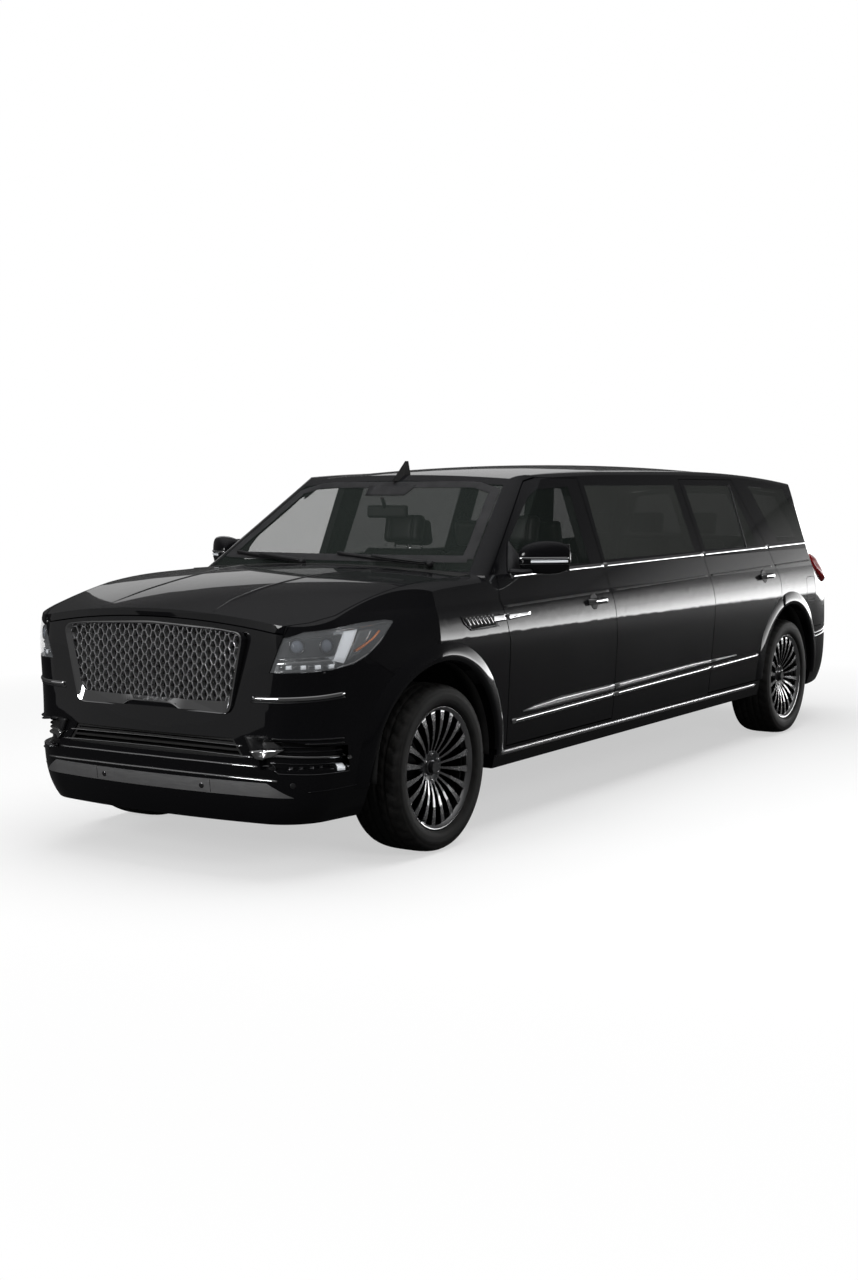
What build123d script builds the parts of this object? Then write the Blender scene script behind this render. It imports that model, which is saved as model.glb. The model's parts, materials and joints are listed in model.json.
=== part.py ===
from build123d import *
from math import cos, hypot, pi, radians, sin
import os

os.makedirs("parts", exist_ok=True)

# Frame: +X forward, +Y to the vehicle's left, +Z up, millimetres. The origin is on the
# ground at mid length, on the centre plane.

# ---- driving dimensions -------------------------------------------------------------
LENGTH = 6858.0
BODY_WIDTH = 2029.0
WHEELBASE = 4635.0
FRONT_OVERHANG = 965.0
TRACK = 1716.0
TYRE_DIAMETER = 815.0
TYRE_WIDTH = 285.0
RIM_DIAMETER = 594.0
RIM_WIDTH = 254.0
ARCH_RADIUS = 505.0
DOOR_GAP = 7.0
LINE_GAP = 4.0
HINGE_Y = 905.0
HINGE_DEPTH = 60.0
HINGE_HEIGHT = 70.0
FRONT_HINGES = [560, 960]
REAR_HINGES = [560, 960]
DOOR_THICKNESS = 110.0
FRAME_THICKNESS = 46.0
SKIN_THICKNESS = 60.0
GLASS_THICKNESS = 6.0
HOOD_THICKNESS = 34.0
FIT = 0.3
RUNNING_GAP = 6.0
SILL_BOTTOM = 330.0
SILL_TOP = 434.0
SHOULDER = 1185.0
BELT = 1310.0
ROOF_SEAM = 1808.0
FLOOR_TOP = 530.0
FLOOR_PLATE = 30.0
RAIL_WIDTH = 80.0
RAIL_HEIGHT = 140.0
RAIL_CENTRE = 435.0
RAIL_BOTTOM = 325.0
PLATE_HOLE_SPACING = 178.0
PLATE_HOLE_RADIUS = 3.5
HANDLE_LENGTH = 210.0
COWL_REAR = 1990.0
SIDE_OUT = 1060.0
SIDE_IN = 600.0

NOSE = LENGTH / 2
TAIL = -LENGTH / 2
HALF = BODY_WIDTH / 2
FRONT_AXLE = NOSE - FRONT_OVERHANG
REAR_AXLE = FRONT_AXLE - WHEELBASE
TYRE_RADIUS = TYRE_DIAMETER / 2
WHEEL_Y = TRACK / 2
ARCH_Z = 420.0
FAR = 2 * LENGTH


# ---- small helpers ------------------------------------------------------------------
def block(x0, x1, y0, y1, z0, z1):
    """A box given by its two corners."""
    size = (abs(x1 - x0), abs(y1 - y0), abs(z1 - z0))
    return Pos((x0 + x1) / 2, (y0 + y1) / 2, (z0 + z1) / 2) * Box(*size)


def rod(start, end, radius):
    """A round bar between two points."""
    path = Edge.make_line(start, end)
    return Solid.extrude(Face(Wire.make_circle(radius, Plane(start, z_dir=path % 0))),
                         Vector(*end) - Vector(*start))


def both(solid):
    """A piece on the left and its mirror image on the right."""
    return Compound(children=[*solid.solids(), *mirror(solid, about=Plane.XZ).solids()])


def largest(shape):
    return max(shape.solids(), key=lambda piece: piece.volume)


def write(name, shape):
    export_step(shape, f"parts/{name}.step")


def bend(start, way, end):
    """The middle point and the end direction of the arc that leaves start along way."""
    chord = (end[0] - start[0], end[1] - start[1])
    side = (-way[1], way[0])
    lean = chord[0] * side[0] + chord[1] * side[1]
    radius = (chord[0] ** 2 + chord[1] ** 2) / (2 * lean)
    centre = (start[0] + radius * side[0], start[1] + radius * side[1])
    half = ((start[0] + end[0]) / 2 - centre[0], (start[1] + end[1]) / 2 - centre[1])
    scale = abs(radius) / hypot(*half)
    middle = (centre[0] + half[0] * scale, centre[1] + half[1] * scale)
    forward = (way[0] * chord[0] + way[1] * chord[1]) / (chord[0] ** 2 + chord[1] ** 2)
    leave = (2 * forward * chord[0] - way[0], 2 * forward * chord[1] - way[1])
    return middle, leave


def prism_y(points, y0, y1):
    """A prism with the side outline points, (x, z), from y0 to y1."""
    face = Face(Wire.make_polygon([(x, y0, z) for x, z in points]))
    return Solid.extrude(face, Vector(0, y1 - y0, 0))


def prism_x(points, x0, x1):
    """A prism with the end outline points, (y, z), from x0 to x1."""
    face = Face(Wire.make_polygon([(x0, y, z) for y, z in points]))
    return Solid.extrude(face, Vector(x1 - x0, 0, 0))


def prism_z(points, z0, z1):
    """A prism with the plan outline points, (x, y), from z0 to z1."""
    face = Face(Wire.make_polygon([(x, y, z0) for x, y in points]))
    return Solid.extrude(face, Vector(0, 0, z1 - z0))


def grown(points, amount):
    """A straight sided outline, its sides moved outward by amount."""
    area = sum(a[0] * b[1] - b[0] * a[1] for a, b in zip(points, points[1:] + points[:1]))
    turn = amount if area > 0 else -amount
    result = []
    for before, here, after in zip(points[-1:] + points[:-1], points, points[1:] + points[:1]):
        ways = []
        for a, b in ((before, here), (here, after)):
            length = hypot(b[0] - a[0], b[1] - a[1])
            ways.append(((b[1] - a[1]) / length, -(b[0] - a[0]) / length))
        (ax, az), (bx, bz) = ways
        share = turn / (1 + ax * bx + az * bz)
        result.append((here[0] + (ax + bx) * share, here[1] + (az + bz) * share, *here[2:]))
    return result


# ---- body forms ---------------------------------------------------------------------
# Plan outline of the body at one height. Each end is a flat arc, a corner arc and a flank
# arc that runs out in the straight side.
# z, half width | nose, end arc x y, corner x y, side from | tail, arc x y, corner x y, to
HULL_LEVELS = [
    (230, 925, NOSE - 52, NOSE - 95, 600, NOSE - 290, 790, 2500,
     TAIL + 52, TAIL + 90, 600, TAIL + 280, 820, -2700),
    (400, 986, NOSE - 4, NOSE - 50, 640, NOSE - 254, 870, 2500,
     TAIL + 4, TAIL + 42, 620, TAIL + 250, 890, -2700),
    (620, 1003, NOSE, NOSE - 45, 640, NOSE - 250, 885, 2500,
     TAIL, TAIL + 38, 620, TAIL + 245, 905, -2700),
    (900, HALF, NOSE - 27, NOSE - 57, 660, NOSE - 257, 893, 2500,
     TAIL + 24, TAIL + 64, 620, TAIL + 280, 915, -2700),
    (SHOULDER, 985, NOSE - 37, NOSE - 79, 660, NOSE - 309, 872, 2500,
     TAIL + 119, TAIL + 167, 620, TAIL + 420, 895, -2680),
]
BELT_LEVEL = (BELT, 952, NOSE - 49, NOSE - 94, 650, NOSE - 329, 845, 2500,
              TAIL + 184, TAIL + 239, 600, TAIL + 529, 885, -2650)
CABIN_FOOT = (BELT, 952, 2085, 1975, 845, 1875, 915, 1740,
              TAIL + 184, TAIL + 239, 600, TAIL + 529, 885, -2650)
CABIN_HEAD = (1800, 780, 1345, 1265, 660, 1200, 735, 1100,
              -2985, -2950, 560, -2830, 720, -2700)
# Roof crown: x, height at the centre, height at the shoulder, height at the edge
ROOF_STATIONS = [
    (2150, 1690, 1665, 1640),
    (1320, 1824, 1795, 1755),
    (600, 1876, 1840, 1780),
    (-600, 1902, 1858, 1786),
    (-1700, 1882, 1843, 1780),
    (-2500, 1828, 1797, 1749),
    (-3300, 1754, 1726, 1682),
]
ROOF_SHOULDER_Y = 675.0
ROOF_EDGE_Y = 800.0
# Hood and fender tops: x, height at the centre, height at the fender's top
HOOD_STATIONS = [
    (1900, 1352, 1322),
    (2500, 1338, 1296),
    (2950, 1292, 1226),
    (3200, 1248, 1156),
    (3500, 1166, 1062),
]
FENDER_TOP_Y = 872.0
FENDER_ROUND = 130.0


def between(low, high, share):
    return tuple(a + (b - a) * share for a, b in zip(low, high))


def plan_wire(level, inset, front_inset=None):
    """The closed plan outline of one level, every side moved inward by inset."""
    z, half, nose, px, py, qx, qy, sx, tail, rx, ry, tx, ty, ux = level
    lead = inset if front_inset is None else front_inset
    front = [(px - lead, py - inset / 2), (qx - lead, qy - inset), (sx - lead, half - inset)]
    rear = [(rx + inset, ry - inset / 2), (tx + inset, ty - inset), (ux + inset, half - inset)]
    edges = []
    nose_bow = (nose - px) / py
    tail_bow = (rx - tail) / ry
    for points, bow, sign in ((front, nose_bow, 1), (rear, tail_bow, -1)):
        way = (-2 * bow * sign, 1 - bow * bow)
        size = hypot(*way)
        way = (way[0] / size, way[1] / size)
        for a, b in zip(points, points[1:]):
            middle, way = bend(a, way, b)
            edges.append((a, middle, b))
    wires = []
    for flip in (1, -1):
        for a, m, b in edges:
            three = [(p[0], p[1] * flip, z) for p in (a, m, b)]
            wires.append(Edge.make_three_point_arc(*three))
        wires.append(Edge.make_line((front[2][0], front[2][1] * flip, z),
                                    (rear[2][0], rear[2][1] * flip, z)))
    for points, end, shift in ((front, nose, -lead), (rear, tail, inset)):
        x, y = points[0]
        wires.append(Edge.make_three_point_arc((x, -y, z), (end + shift, 0, z), (x, y, z)))
    return Wire(wires)


def hull_form(inset):
    """The lower body up to the shoulder crease, and the band from there to the belt."""
    lower = Solid.make_loft([plan_wire(level, inset) for level in HULL_LEVELS])
    upper = Solid.make_loft([plan_wire(HULL_LEVELS[-1], inset), plan_wire(BELT_LEVEL, inset)],
                            ruled=True)
    return lower, upper


def roof_wire(station, inset):
    """One crowned section of the roof, open wide below it."""
    x, centre, shoulder, edge = station
    top = (0, centre - inset)
    side = (ROOF_SHOULDER_Y - inset / 2, shoulder - inset)
    foot = (ROOF_EDGE_Y - inset, edge - inset / 2)
    low = (ROOF_EDGE_Y + 420, 1150)
    turn, _ = bend(foot, (-0.33, 0.944), side)
    edges = [Edge.make_three_point_arc((x, -side[0], side[1]), (x, *top), (x, *side))]
    for flip in (1, -1):
        edges.append(Edge.make_three_point_arc(
            (x, side[0] * flip, side[1]), (x, turn[0] * flip, turn[1]),
            (x, foot[0] * flip, foot[1])))
        edges.append(Edge.make_line((x, foot[0] * flip, foot[1]), (x, low[0] * flip, low[1])))
    edges.append(Edge.make_line((x, low[0], low[1]), (x, -low[0], low[1])))
    return Wire(edges)


def cabin_form(inset):
    """The greenhouse with its roof crown: sloping sides, bowed ends, arched top."""
    lean = 1.81 * inset
    foot = plan_wire(CABIN_FOOT, 1.06 * inset, lean)
    head = plan_wire(between(CABIN_FOOT, CABIN_HEAD, 1.35), 1.06 * inset, lean)
    walls = Solid.make_loft([foot, head], ruled=True)
    crown = Solid.make_loft([roof_wire(station, inset) for station in ROOF_STATIONS])
    return walls & crown


def hood_wire(station, drop):
    """One crowned section over the hood and the fender tops."""
    x, centre, edge = station
    side = (FENDER_TOP_Y, edge - drop)
    foot = (HALF + 6, edge - FENDER_ROUND - drop)
    low = (HALF + 60, 100)
    turn, _ = bend(foot, (-0.2, 0.98), side)
    edges = [Edge.make_three_point_arc((x, -side[0], side[1]), (x, 0, centre - drop),
                                       (x, *side))]
    for flip in (1, -1):
        edges.append(Edge.make_three_point_arc(
            (x, side[0] * flip, side[1]), (x, turn[0] * flip, turn[1]),
            (x, foot[0] * flip, foot[1])))
        edges.append(Edge.make_line((x, foot[0] * flip, foot[1]), (x, low[0] * flip, low[1])))
    edges.append(Edge.make_line((x, low[0], low[1]), (x, -low[0], low[1])))
    return Wire(edges)


def nose_form(inset):
    """The front body under the hood and fender crown."""
    crown = Solid.make_loft([hood_wire(station, inset) for station in HOOD_STATIONS])
    lower, _ = hull_form(inset)
    top = between(HULL_LEVELS[-1], BELT_LEVEL, 1.6)
    upper = Solid.make_loft([plan_wire(HULL_LEVELS[-1], inset), plan_wire(top, inset)],
                            ruled=True)
    ahead = block(COWL_REAR, FAR, -FAR, FAR, 0, FAR)
    return (lower & ahead & crown), (upper & ahead & crown)


def skin_y(z):
    """How far out the body side is at height z."""
    if z < SHOULDER:
        return 1005.0
    if z < BELT:
        return 985 - (985 - 952) * (z - SHOULDER) / (BELT - SHOULDER)
    return 952 - (952 - 780) * (z - BELT) / (1800 - BELT)


def slanted_prism(outline):
    """A cutter along Y; each corner (x, z, lean) moves forward with depth by its lean."""
    outer = [(x - lean * (SIDE_OUT - skin_y(z)), SIDE_OUT, z) for x, z, lean in outline]
    inner = [(x + lean * (skin_y(z) - SIDE_IN), SIDE_IN, z) for x, z, lean in outline]
    return Solid.make_loft([Wire.make_polygon(outer), Wire.make_polygon(inner)], ruled=True)




OUTER_LOW, OUTER_BAND = hull_form(0)
OUTER_CABIN = cabin_form(0)
OUTER_NOSE = nose_form(0)
INNER_NOSE = nose_form(SKIN_THICKNESS)
INNER_LOW, INNER_BAND = hull_form(DOOR_THICKNESS)
INNER_CABIN = cabin_form(FRAME_THICKNESS)
GLASS_INNER = cabin_form(GLASS_THICKNESS)
LEFT = block(-FAR, FAR, 0.5, FAR, 0, FAR)
AFT_OF_COWL = block(-FAR, COWL_REAR, -FAR, FAR, 0, FAR)


def arch_cut(radius, axle):
    """The round of a wheel arch, on the left side."""
    return Pos(axle, 0, ARCH_Z) * extrude(Plane.XZ * Circle(radius), -FAR / 4)


ARCHES = arch_cut(ARCH_RADIUS, FRONT_AXLE) + arch_cut(ARCH_RADIUS, REAR_AXLE)

# Left side wall: the thick lower wall, the band above the crease and the thin upper wall.
WALL_LOW = (OUTER_LOW - INNER_LOW) & LEFT & AFT_OF_COWL
WALL_BAND = (OUTER_BAND - INNER_BAND) & LEFT & AFT_OF_COWL
WALL_CABIN = (OUTER_CABIN - INNER_CABIN) & LEFT
SIDE_WALL = (WALL_LOW + WALL_BAND + WALL_CABIN) - ARCHES
GLASS_SKIN = (OUTER_CABIN - GLASS_INNER) & LEFT

# ---- side outlines: x, z, lean of the edge ------------------------------------------
REAR_LEAN = 0.27
REAR_DOOR_LEAN = 0.35
FRONT_DOOR = [(1845, SILL_TOP, 0), (1839, 978, 0), (1895, SHOULDER, 0), (1872, BELT, 0),
              (1283, 1742, 0), (1220, 1787, 0), (1129, ROOF_SEAM, 0),
              (664, ROOF_SEAM, REAR_LEAN), (670, 1305, REAR_LEAN), (610, 883, REAR_LEAN),
              (626, SILL_TOP, REAR_LEAN)]
REAR_DOOR = [(-758, SILL_TOP, 0), (-812, 1000, 0), (-757, 1321, 0), (-736, ROOF_SEAM, 0),
             (-1611, ROOF_SEAM, REAR_DOOR_LEAN), (-1885, 1340, REAR_DOOR_LEAN),
             (-1992, 1105, REAR_DOOR_LEAN), (-1992, 870, REAR_DOOR_LEAN),
             (-1992, SILL_TOP, REAR_DOOR_LEAN)]
FRONT_WINDOW = [(1680, 1346), (1640, 1420), (1585, 1482), (1270, 1700), (1180, 1742),
                (808, 1758), (826, 1330)]
MID_WINDOW = [(628, 1342), (604, 1764), (-630, 1768), (-645, 1347)]
REAR_WINDOW = [(-822, 1352), (-800, 1768), (-1548, 1766), (-1730, 1356)]
QUARTER_WINDOW = [(-2128, 1362), (-1890, 1758), (-2540, 1738), (-2775, 1372)]
# Door handles: middle x, z, and how far out the grip and its feet reach
FRONT_HANDLE = (863, 1121)
REAR_HANDLE = (-1716, 1146)
HANDLE_Y = 1036.0
HANDLE_ROOT_Y = 975.0
HANDLE_GRIP = 17.0
HANDLE_HEIGHT = 30.0
HANDLE_EDGE = 6.0
SIDE_ZONE = [(SIDE_OUT, 200), (SIDE_OUT, ROOF_SEAM + 10), (700, ROOF_SEAM + 10),
             (830, BELT), (830, 200)]


def make_handle(x, z):
    """A pull handle standing off the left doors, its two feet sunk in the door."""
    end = HANDLE_LENGTH / 2
    outline = [(end, HANDLE_ROOT_Y), (end - 25, HANDLE_Y - 4), (end - 45, HANDLE_Y)]
    inner = [(end - 50, HANDLE_Y - HANDLE_GRIP), (end - 40, HANDLE_ROOT_Y)]
    half = outline + [(-dx, y) for dx, y in reversed(outline)]
    half = half + [(-dx, y) for dx, y in reversed(inner)] + inner
    bar = prism_z([(x + dx, y) for dx, y in half], z - HANDLE_HEIGHT / 2, z + HANDLE_HEIGHT / 2)
    ends = bar.faces().sort_by(Axis.Z)
    return chamfer(ends[0].edges() + ends[-1].edges(), HANDLE_EDGE)


def door_pieces(outline, window, handle):
    """A left door and its pane, cut from the side wall along the door's outline."""
    leaf = slanted_prism(grown(outline, -DOOR_GAP / 2)) & prism_x(SIDE_ZONE, -FAR, FAR)
    hole = prism_y(window, 0, SIDE_OUT)
    door = (SIDE_WALL & leaf) - hole + make_handle(*handle)
    pane = GLASS_SKIN & prism_y(grown(window, -FIT), SIDE_IN, SIDE_OUT)
    return door, pane


FRONT_LEAF, FRONT_PANE = door_pieces(FRONT_DOOR, FRONT_WINDOW, FRONT_HANDLE)
REAR_LEAF, REAR_PANE = door_pieces(REAR_DOOR, REAR_WINDOW, REAR_HANDLE)
DOORWAYS = (slanted_prism(grown(FRONT_DOOR, DOOR_GAP / 2))
            + slanted_prism(grown(REAR_DOOR, DOOR_GAP / 2)))
DOORWAYS = DOORWAYS & prism_x(grown(SIDE_ZONE, DOOR_GAP), -FAR, FAR)
FIXED_WALL = SIDE_WALL - DOORWAYS

# ---- front and rear outlines --------------------------------------------------------
SCREEN = [(-838, 1326), (-668, 1766), (-340, 1788), (0, 1794), (340, 1788), (668, 1766),
          (838, 1326)]
SCREEN_AFT = 1100.0
HOOD_REAR = 2112.0
HOOD_OUTLINE = [(HOOD_REAR, 870), (3129, 850), (3250, 800), (3344, 724), (3392, 587), (FAR, 587)]
LAMP_TOP = [(2790, 1139), (2836, 1146), (2994, 1142), (3159, 1129), (3302, 1117), (3347, 1091),
            (3600, 1080)]
LAMP_LOW = [(2790, 1131), (2823, 1108), (2901, 1045), (2995, 992), (3079, 962), (3161, 950),
            (3304, 939), (3377, 935), (3600, 930)]
BUMPER_SEAM = [(2640, 775), (2735, 827), (2838, 902), (2995, 992)]
LAMP_INNER = [(655, 900), (664, 936), (734, 1113), (760, 1180)]
GRILLE = [(0, 1141), (400, 1124), (545, 1108), (462, 748), (0, 748)]
GATE = [(0, 1752), (420, 1743), (640, 1722), (815, BELT), (800, 1050), (735, 742), (0, 742)]
REAR_WINDOW_OUTLINE = [(0, 1712), (420, 1704), (575, 1688), (735, 1380), (0, 1380)]
GATE_LEAN = 0.12
GATE_SKIN_X = -3200.0
GATE_FRONT = -2880.0
BUMPER_TOP_REAR = 735.0
BUMPER_FRONT_EDGE = -2640.0
REAR_ZONE_X = -2600.0
MID_HALF = 1000.0
QUARTER_FRONT = -1500.0
QUARTER_CUT_IN = 500.0
FRONT_HINGE_X = 1870.0
REAR_HINGE_X = -772.0
TAIL_LAMP = [(-2700, 1262), (-2690, 1225), (-2960, 1020), (-3070, 1000), (-FAR, 985),
             (-FAR, 1268)]


def whole(half_outline):
    """A closed outline across the centre plane from its left half, given top to bottom."""
    return half_outline + [(-y, z) for y, z in reversed(half_outline) if y > 0]


def gate_prism(amount):
    """The liftgate's cutter along X, grown by amount and narrower towards the front."""
    outline = grown(whole(GATE), amount)
    wires = []
    for x in (GATE_SKIN_X - 600, GATE_FRONT + amount):
        shift = GATE_LEAN * (x - GATE_SKIN_X)
        points = [(x, y - shift if y > 0 else y + shift if y < 0 else 0, z) for y, z in outline]
        wires.append(Wire.make_polygon(points))
    return Solid.make_loft(wires, ruled=True)


# ---- roof, pillars and windscreen ---------------------------------------------------
ROOF_LINE = [(1700, ROOF_SEAM), (-1620, ROOF_SEAM), (-2500, 1768), (-3400, 1690)]
ABOVE_ROOF = 2200.0
ROOF_ZONE = prism_y(ROOF_LINE + [(ROOF_LINE[-1][0], ABOVE_ROOF), (ROOF_LINE[0][0], ABOVE_ROOF)],
                    -SIDE_OUT, SIDE_OUT)
# The left block under the roof's rear edge that the liftgate hangs on
GATE_HINGE_BLOCK = (-2990, -2950, 300, 380, 1700, 1765)
SCREEN_ZONE = prism_x(SCREEN, SCREEN_AFT, FAR)
FULL_CABIN = OUTER_CABIN - INNER_CABIN
SCREEN_PANE = (OUTER_CABIN - GLASS_INNER) & prism_x(grown(SCREEN, -FIT), SCREEN_AFT, FAR)
GATE_HOLE = gate_prism(DOOR_GAP / 2)
GATE_BODY = gate_prism(-DOOR_GAP / 2)


def make_roof():
    """The roof skin with the two blocks that carry the liftgate's hinges."""
    roof = (FULL_CABIN & ROOF_ZONE) - SCREEN_ZONE
    roof = roof - GATE_HOLE
    pad = block(*GATE_HINGE_BLOCK) - gate_prism(FIT - DOOR_GAP / 2)
    for piece in both(pad & OUTER_CABIN).solids():
        roof = roof + piece
    return largest(roof)


def make_front_pillars():
    """Both windscreen pillars, from the shoulder line up to the roof seam."""
    zone = block(SCREEN_AFT, FAR, 0, FAR, BELT, ROOF_SEAM)
    pillar = ((FULL_CABIN & LEFT & zone) - SCREEN_ZONE) - DOORWAYS
    return both(largest(pillar))


SILL_TO_ARCH = 8.0
SILL_FRONT = FRONT_AXLE - ARCH_RADIUS - SILL_TO_ARCH
SILL_REAR = REAR_AXLE + ARCH_RADIUS + SILL_TO_ARCH
FLANK_FOOT = SILL_TOP - DOOR_GAP / 2
FLANK = (FIXED_WALL & block(-FAR, FAR, 0.5, FAR, FLANK_FOOT, ROOF_SEAM)) - ROOF_ZONE


def hinge_pads(outline, x, heights):
    """Hinge leaves on a pillar, each filling the gap ahead of a door to a fit."""
    leaf = slanted_prism(grown(outline, FIT - DOOR_GAP / 2))
    pads = [block(x - 40, x + 40, HINGE_Y, HINGE_Y + HINGE_DEPTH, z, z + HINGE_HEIGHT) - leaf
            for z in heights]
    return pads[0] + pads[1]


def make_mid_panels():
    """Both side panels of the stretch, with the rear doors' hinge leaves."""
    zone = block(-MID_HALF, MID_HALF, SIDE_IN, FAR, FLANK_FOOT, ROOF_SEAM)
    panel = (FLANK & zone & prism_x(SIDE_ZONE, -FAR, FAR)) - prism_y(MID_WINDOW, 0, SIDE_OUT)
    panel = panel + hinge_pads(REAR_DOOR, REAR_HINGE_X, REAR_HINGES)
    return both(largest(panel))


def make_quarters():
    """The left rear quarter, cut back for the liftgate, the tail lamp and the bumper."""
    zone = block(-FAR, QUARTER_FRONT, 0, FAR, FLANK_FOOT, ROOF_SEAM)
    panel = (FLANK & zone) - prism_y(QUARTER_WINDOW, QUARTER_CUT_IN, SIDE_OUT)
    panel = panel - GATE_HOLE - prism_y(TAIL_LAMP, 0, SIDE_OUT)
    panel = panel - block(-FAR, BUMPER_FRONT_EDGE, 0, FAR, 0, BUMPER_TOP_REAR)
    return panel


def make_sills():
    zone = block(SILL_REAR, SILL_FRONT, SIDE_IN, FAR, SILL_BOTTOM, FLANK_FOOT)
    return both(largest((OUTER_LOW - INNER_LOW) & zone))


# ---- front end ----------------------------------------------------------------------
NOSE_SKIN = (OUTER_NOSE[0] + OUTER_NOSE[1]) - (INNER_NOSE[0] + INNER_NOSE[1])
HOOD_UNDER = Solid.make_loft([hood_wire(station, HOOD_THICKNESS) for station in HOOD_STATIONS])
HOOD_UNDER_GAP = Solid.make_loft(
    [hood_wire(station, HOOD_THICKNESS + RUNNING_GAP) for station in HOOD_STATIONS])
HOOD_PLAN = HOOD_OUTLINE + [(x, -y) for x, y in reversed(HOOD_OUTLINE)]
HOOD_SPAN = (900, 1500)
HOOD_BAND = prism_z(grown(HOOD_PLAN, RUNNING_GAP), *HOOD_SPAN) - HOOD_UNDER_GAP
CENTRE_FACE_X = 2950.0
NOSE_CUT_X = 3000.0
LAMP_SIDE = prism_y(LAMP_TOP + LAMP_LOW[::-1], 0, SIDE_OUT)
CENTRE_OUTLINE_GAP = grown(whole(LAMP_INNER[::-1]), LINE_GAP)
CENTRE_FACE = prism_x(whole(LAMP_INNER[::-1]), CENTRE_FACE_X, FAR)
LAMP_ZONE = LAMP_SIDE - prism_x(CENTRE_OUTLINE_GAP, 2500, FAR)
FENDER_SIDE = ([(1700, FLANK_FOOT), (1700, 1500), (3600, 1500)] + LAMP_TOP[::-1]
               + LAMP_LOW[:4] + BUMPER_SEAM[2::-1] + [(FRONT_AXLE, 700), (1990, FLANK_FOOT)])
BUMPER_SIDE = (BUMPER_SEAM + LAMP_LOW[4:] + [(3600, 200), (2300, 200), (2300, 700)])
SKID = [(-648, 440), (648, 440), (762, 374), (-762, 374)]
LOWER_INTAKE = [(-478, 634), (478, 634), (540, 546), (-540, 546)]
SIDE_INTAKE = [(600, 640), (760, 628), (905, 600), (905, 505), (620, 500)]
SIDE_INTAKE_X = 2900.0
INTAKE_DEPTH = 34.0
INTAKE_GRILLE_X = (3330, 3395)
INTAKE_CUT_X = (3300, 3400)
INTAKE_SLOTS = (556, 586, 614)
INTAKE_SLOT_HEIGHT = 20.0
INTAKE_RIM = 14.0
NOSE_HOLLOW = block(3300, 3335, -440, 440, 500, 700)
RECESS_FORM = nose_form(INTAKE_DEPTH)[0]
LENS_FORM = nose_form(5)
HOUSING_FORM = nose_form(44)
LAMP_ROUND_RADIUS = 34.0
LAMP_ROUNDS = [(3318, 740, 1010), (3236, 812, 1018)]
GRILLE_FRAME = 34.0
GRILLE_BACK = 3352.0
GRILLE_FRONT = 3412.0
GRILLE_PLATE = 22.0
GRILLE_ROWS = 10
CELL_PITCH = 40.0
CELL_BAR = 7.0
BUMPER_FOOT = 245.0
BUMPER_AFT = 2300.0


def make_hood():
    shell = (OUTER_NOSE[0] + OUTER_NOSE[1]) - HOOD_UNDER
    hood = shell & prism_z(HOOD_PLAN, *HOOD_SPAN)
    return largest(hood)


def make_fenders():
    front = (NOSE_SKIN & LEFT) & block(COWL_REAR, FAR, 0, FAR, FLANK_FOOT, FAR)
    rear = FLANK & block(1700, COWL_REAR, SIDE_IN, FAR, FLANK_FOOT, BELT)
    fender = (front + rear) & prism_y(FENDER_SIDE, SIDE_IN - 400, SIDE_OUT)
    fender = fender - HOOD_BAND - ARCHES - prism_x(CENTRE_OUTLINE_GAP, CENTRE_FACE_X, FAR)
    fender = fender - block(COWL_REAR - 10, HOOD_REAR, 0, 876, 1100, FAR)
    fender = fender + hinge_pads(FRONT_DOOR, FRONT_HINGE_X, FRONT_HINGES)
    return both(largest(fender))


def make_bumper_front():
    skin = NOSE_SKIN & block(BUMPER_AFT, FAR, -FAR, FAR, BUMPER_FOOT, FAR)
    side = prism_y(grown(BUMPER_SIDE, -LINE_GAP / 2), -SIDE_OUT, SIDE_OUT)
    bumper = (skin & side) + (skin & CENTRE_FACE)
    bumper = bumper - HOOD_BAND - ARCHES - mirror(ARCHES, about=Plane.XZ)
    bumper = bumper - prism_x(whole(GRILLE), NOSE_CUT_X, FAR) - prism_x(SKID, NOSE_CUT_X, FAR)
    bumper = bumper - prism_x(LOWER_INTAKE, NOSE_CUT_X, FAR)
    recess = prism_x(SIDE_INTAKE, SIDE_INTAKE_X, FAR) - RECESS_FORM
    return largest(bumper - recess - mirror(recess, about=Plane.XZ))


def make_headlamps():
    """The clear covers, and behind them the housings with two round lamps each."""
    outer = OUTER_NOSE[0] + OUTER_NOSE[1]
    zone = LAMP_ZONE - HOOD_BAND
    cover = largest((outer - (LENS_FORM[0] + LENS_FORM[1])) & zone)
    back = (HOUSING_FORM[0] + HOUSING_FORM[1]) - (INNER_NOSE[0] + INNER_NOSE[1])
    housing = largest(back & zone)
    for x, y, z in LAMP_ROUNDS:
        housing = housing + rod((x - 95, y - 22, z), (x, y, z), LAMP_ROUND_RADIUS)
    return both(cover), both(housing)


def inside(outline, y, z):
    """Whether a point lies in a convex outline."""
    turns = [(b[0] - a[0]) * (z - a[1]) - (b[1] - a[1]) * (y - a[0])
             for a, b in zip(outline, outline[1:] + outline[:1])]
    return all(turn > 0 for turn in turns) or all(turn < 0 for turn in turns)


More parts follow.
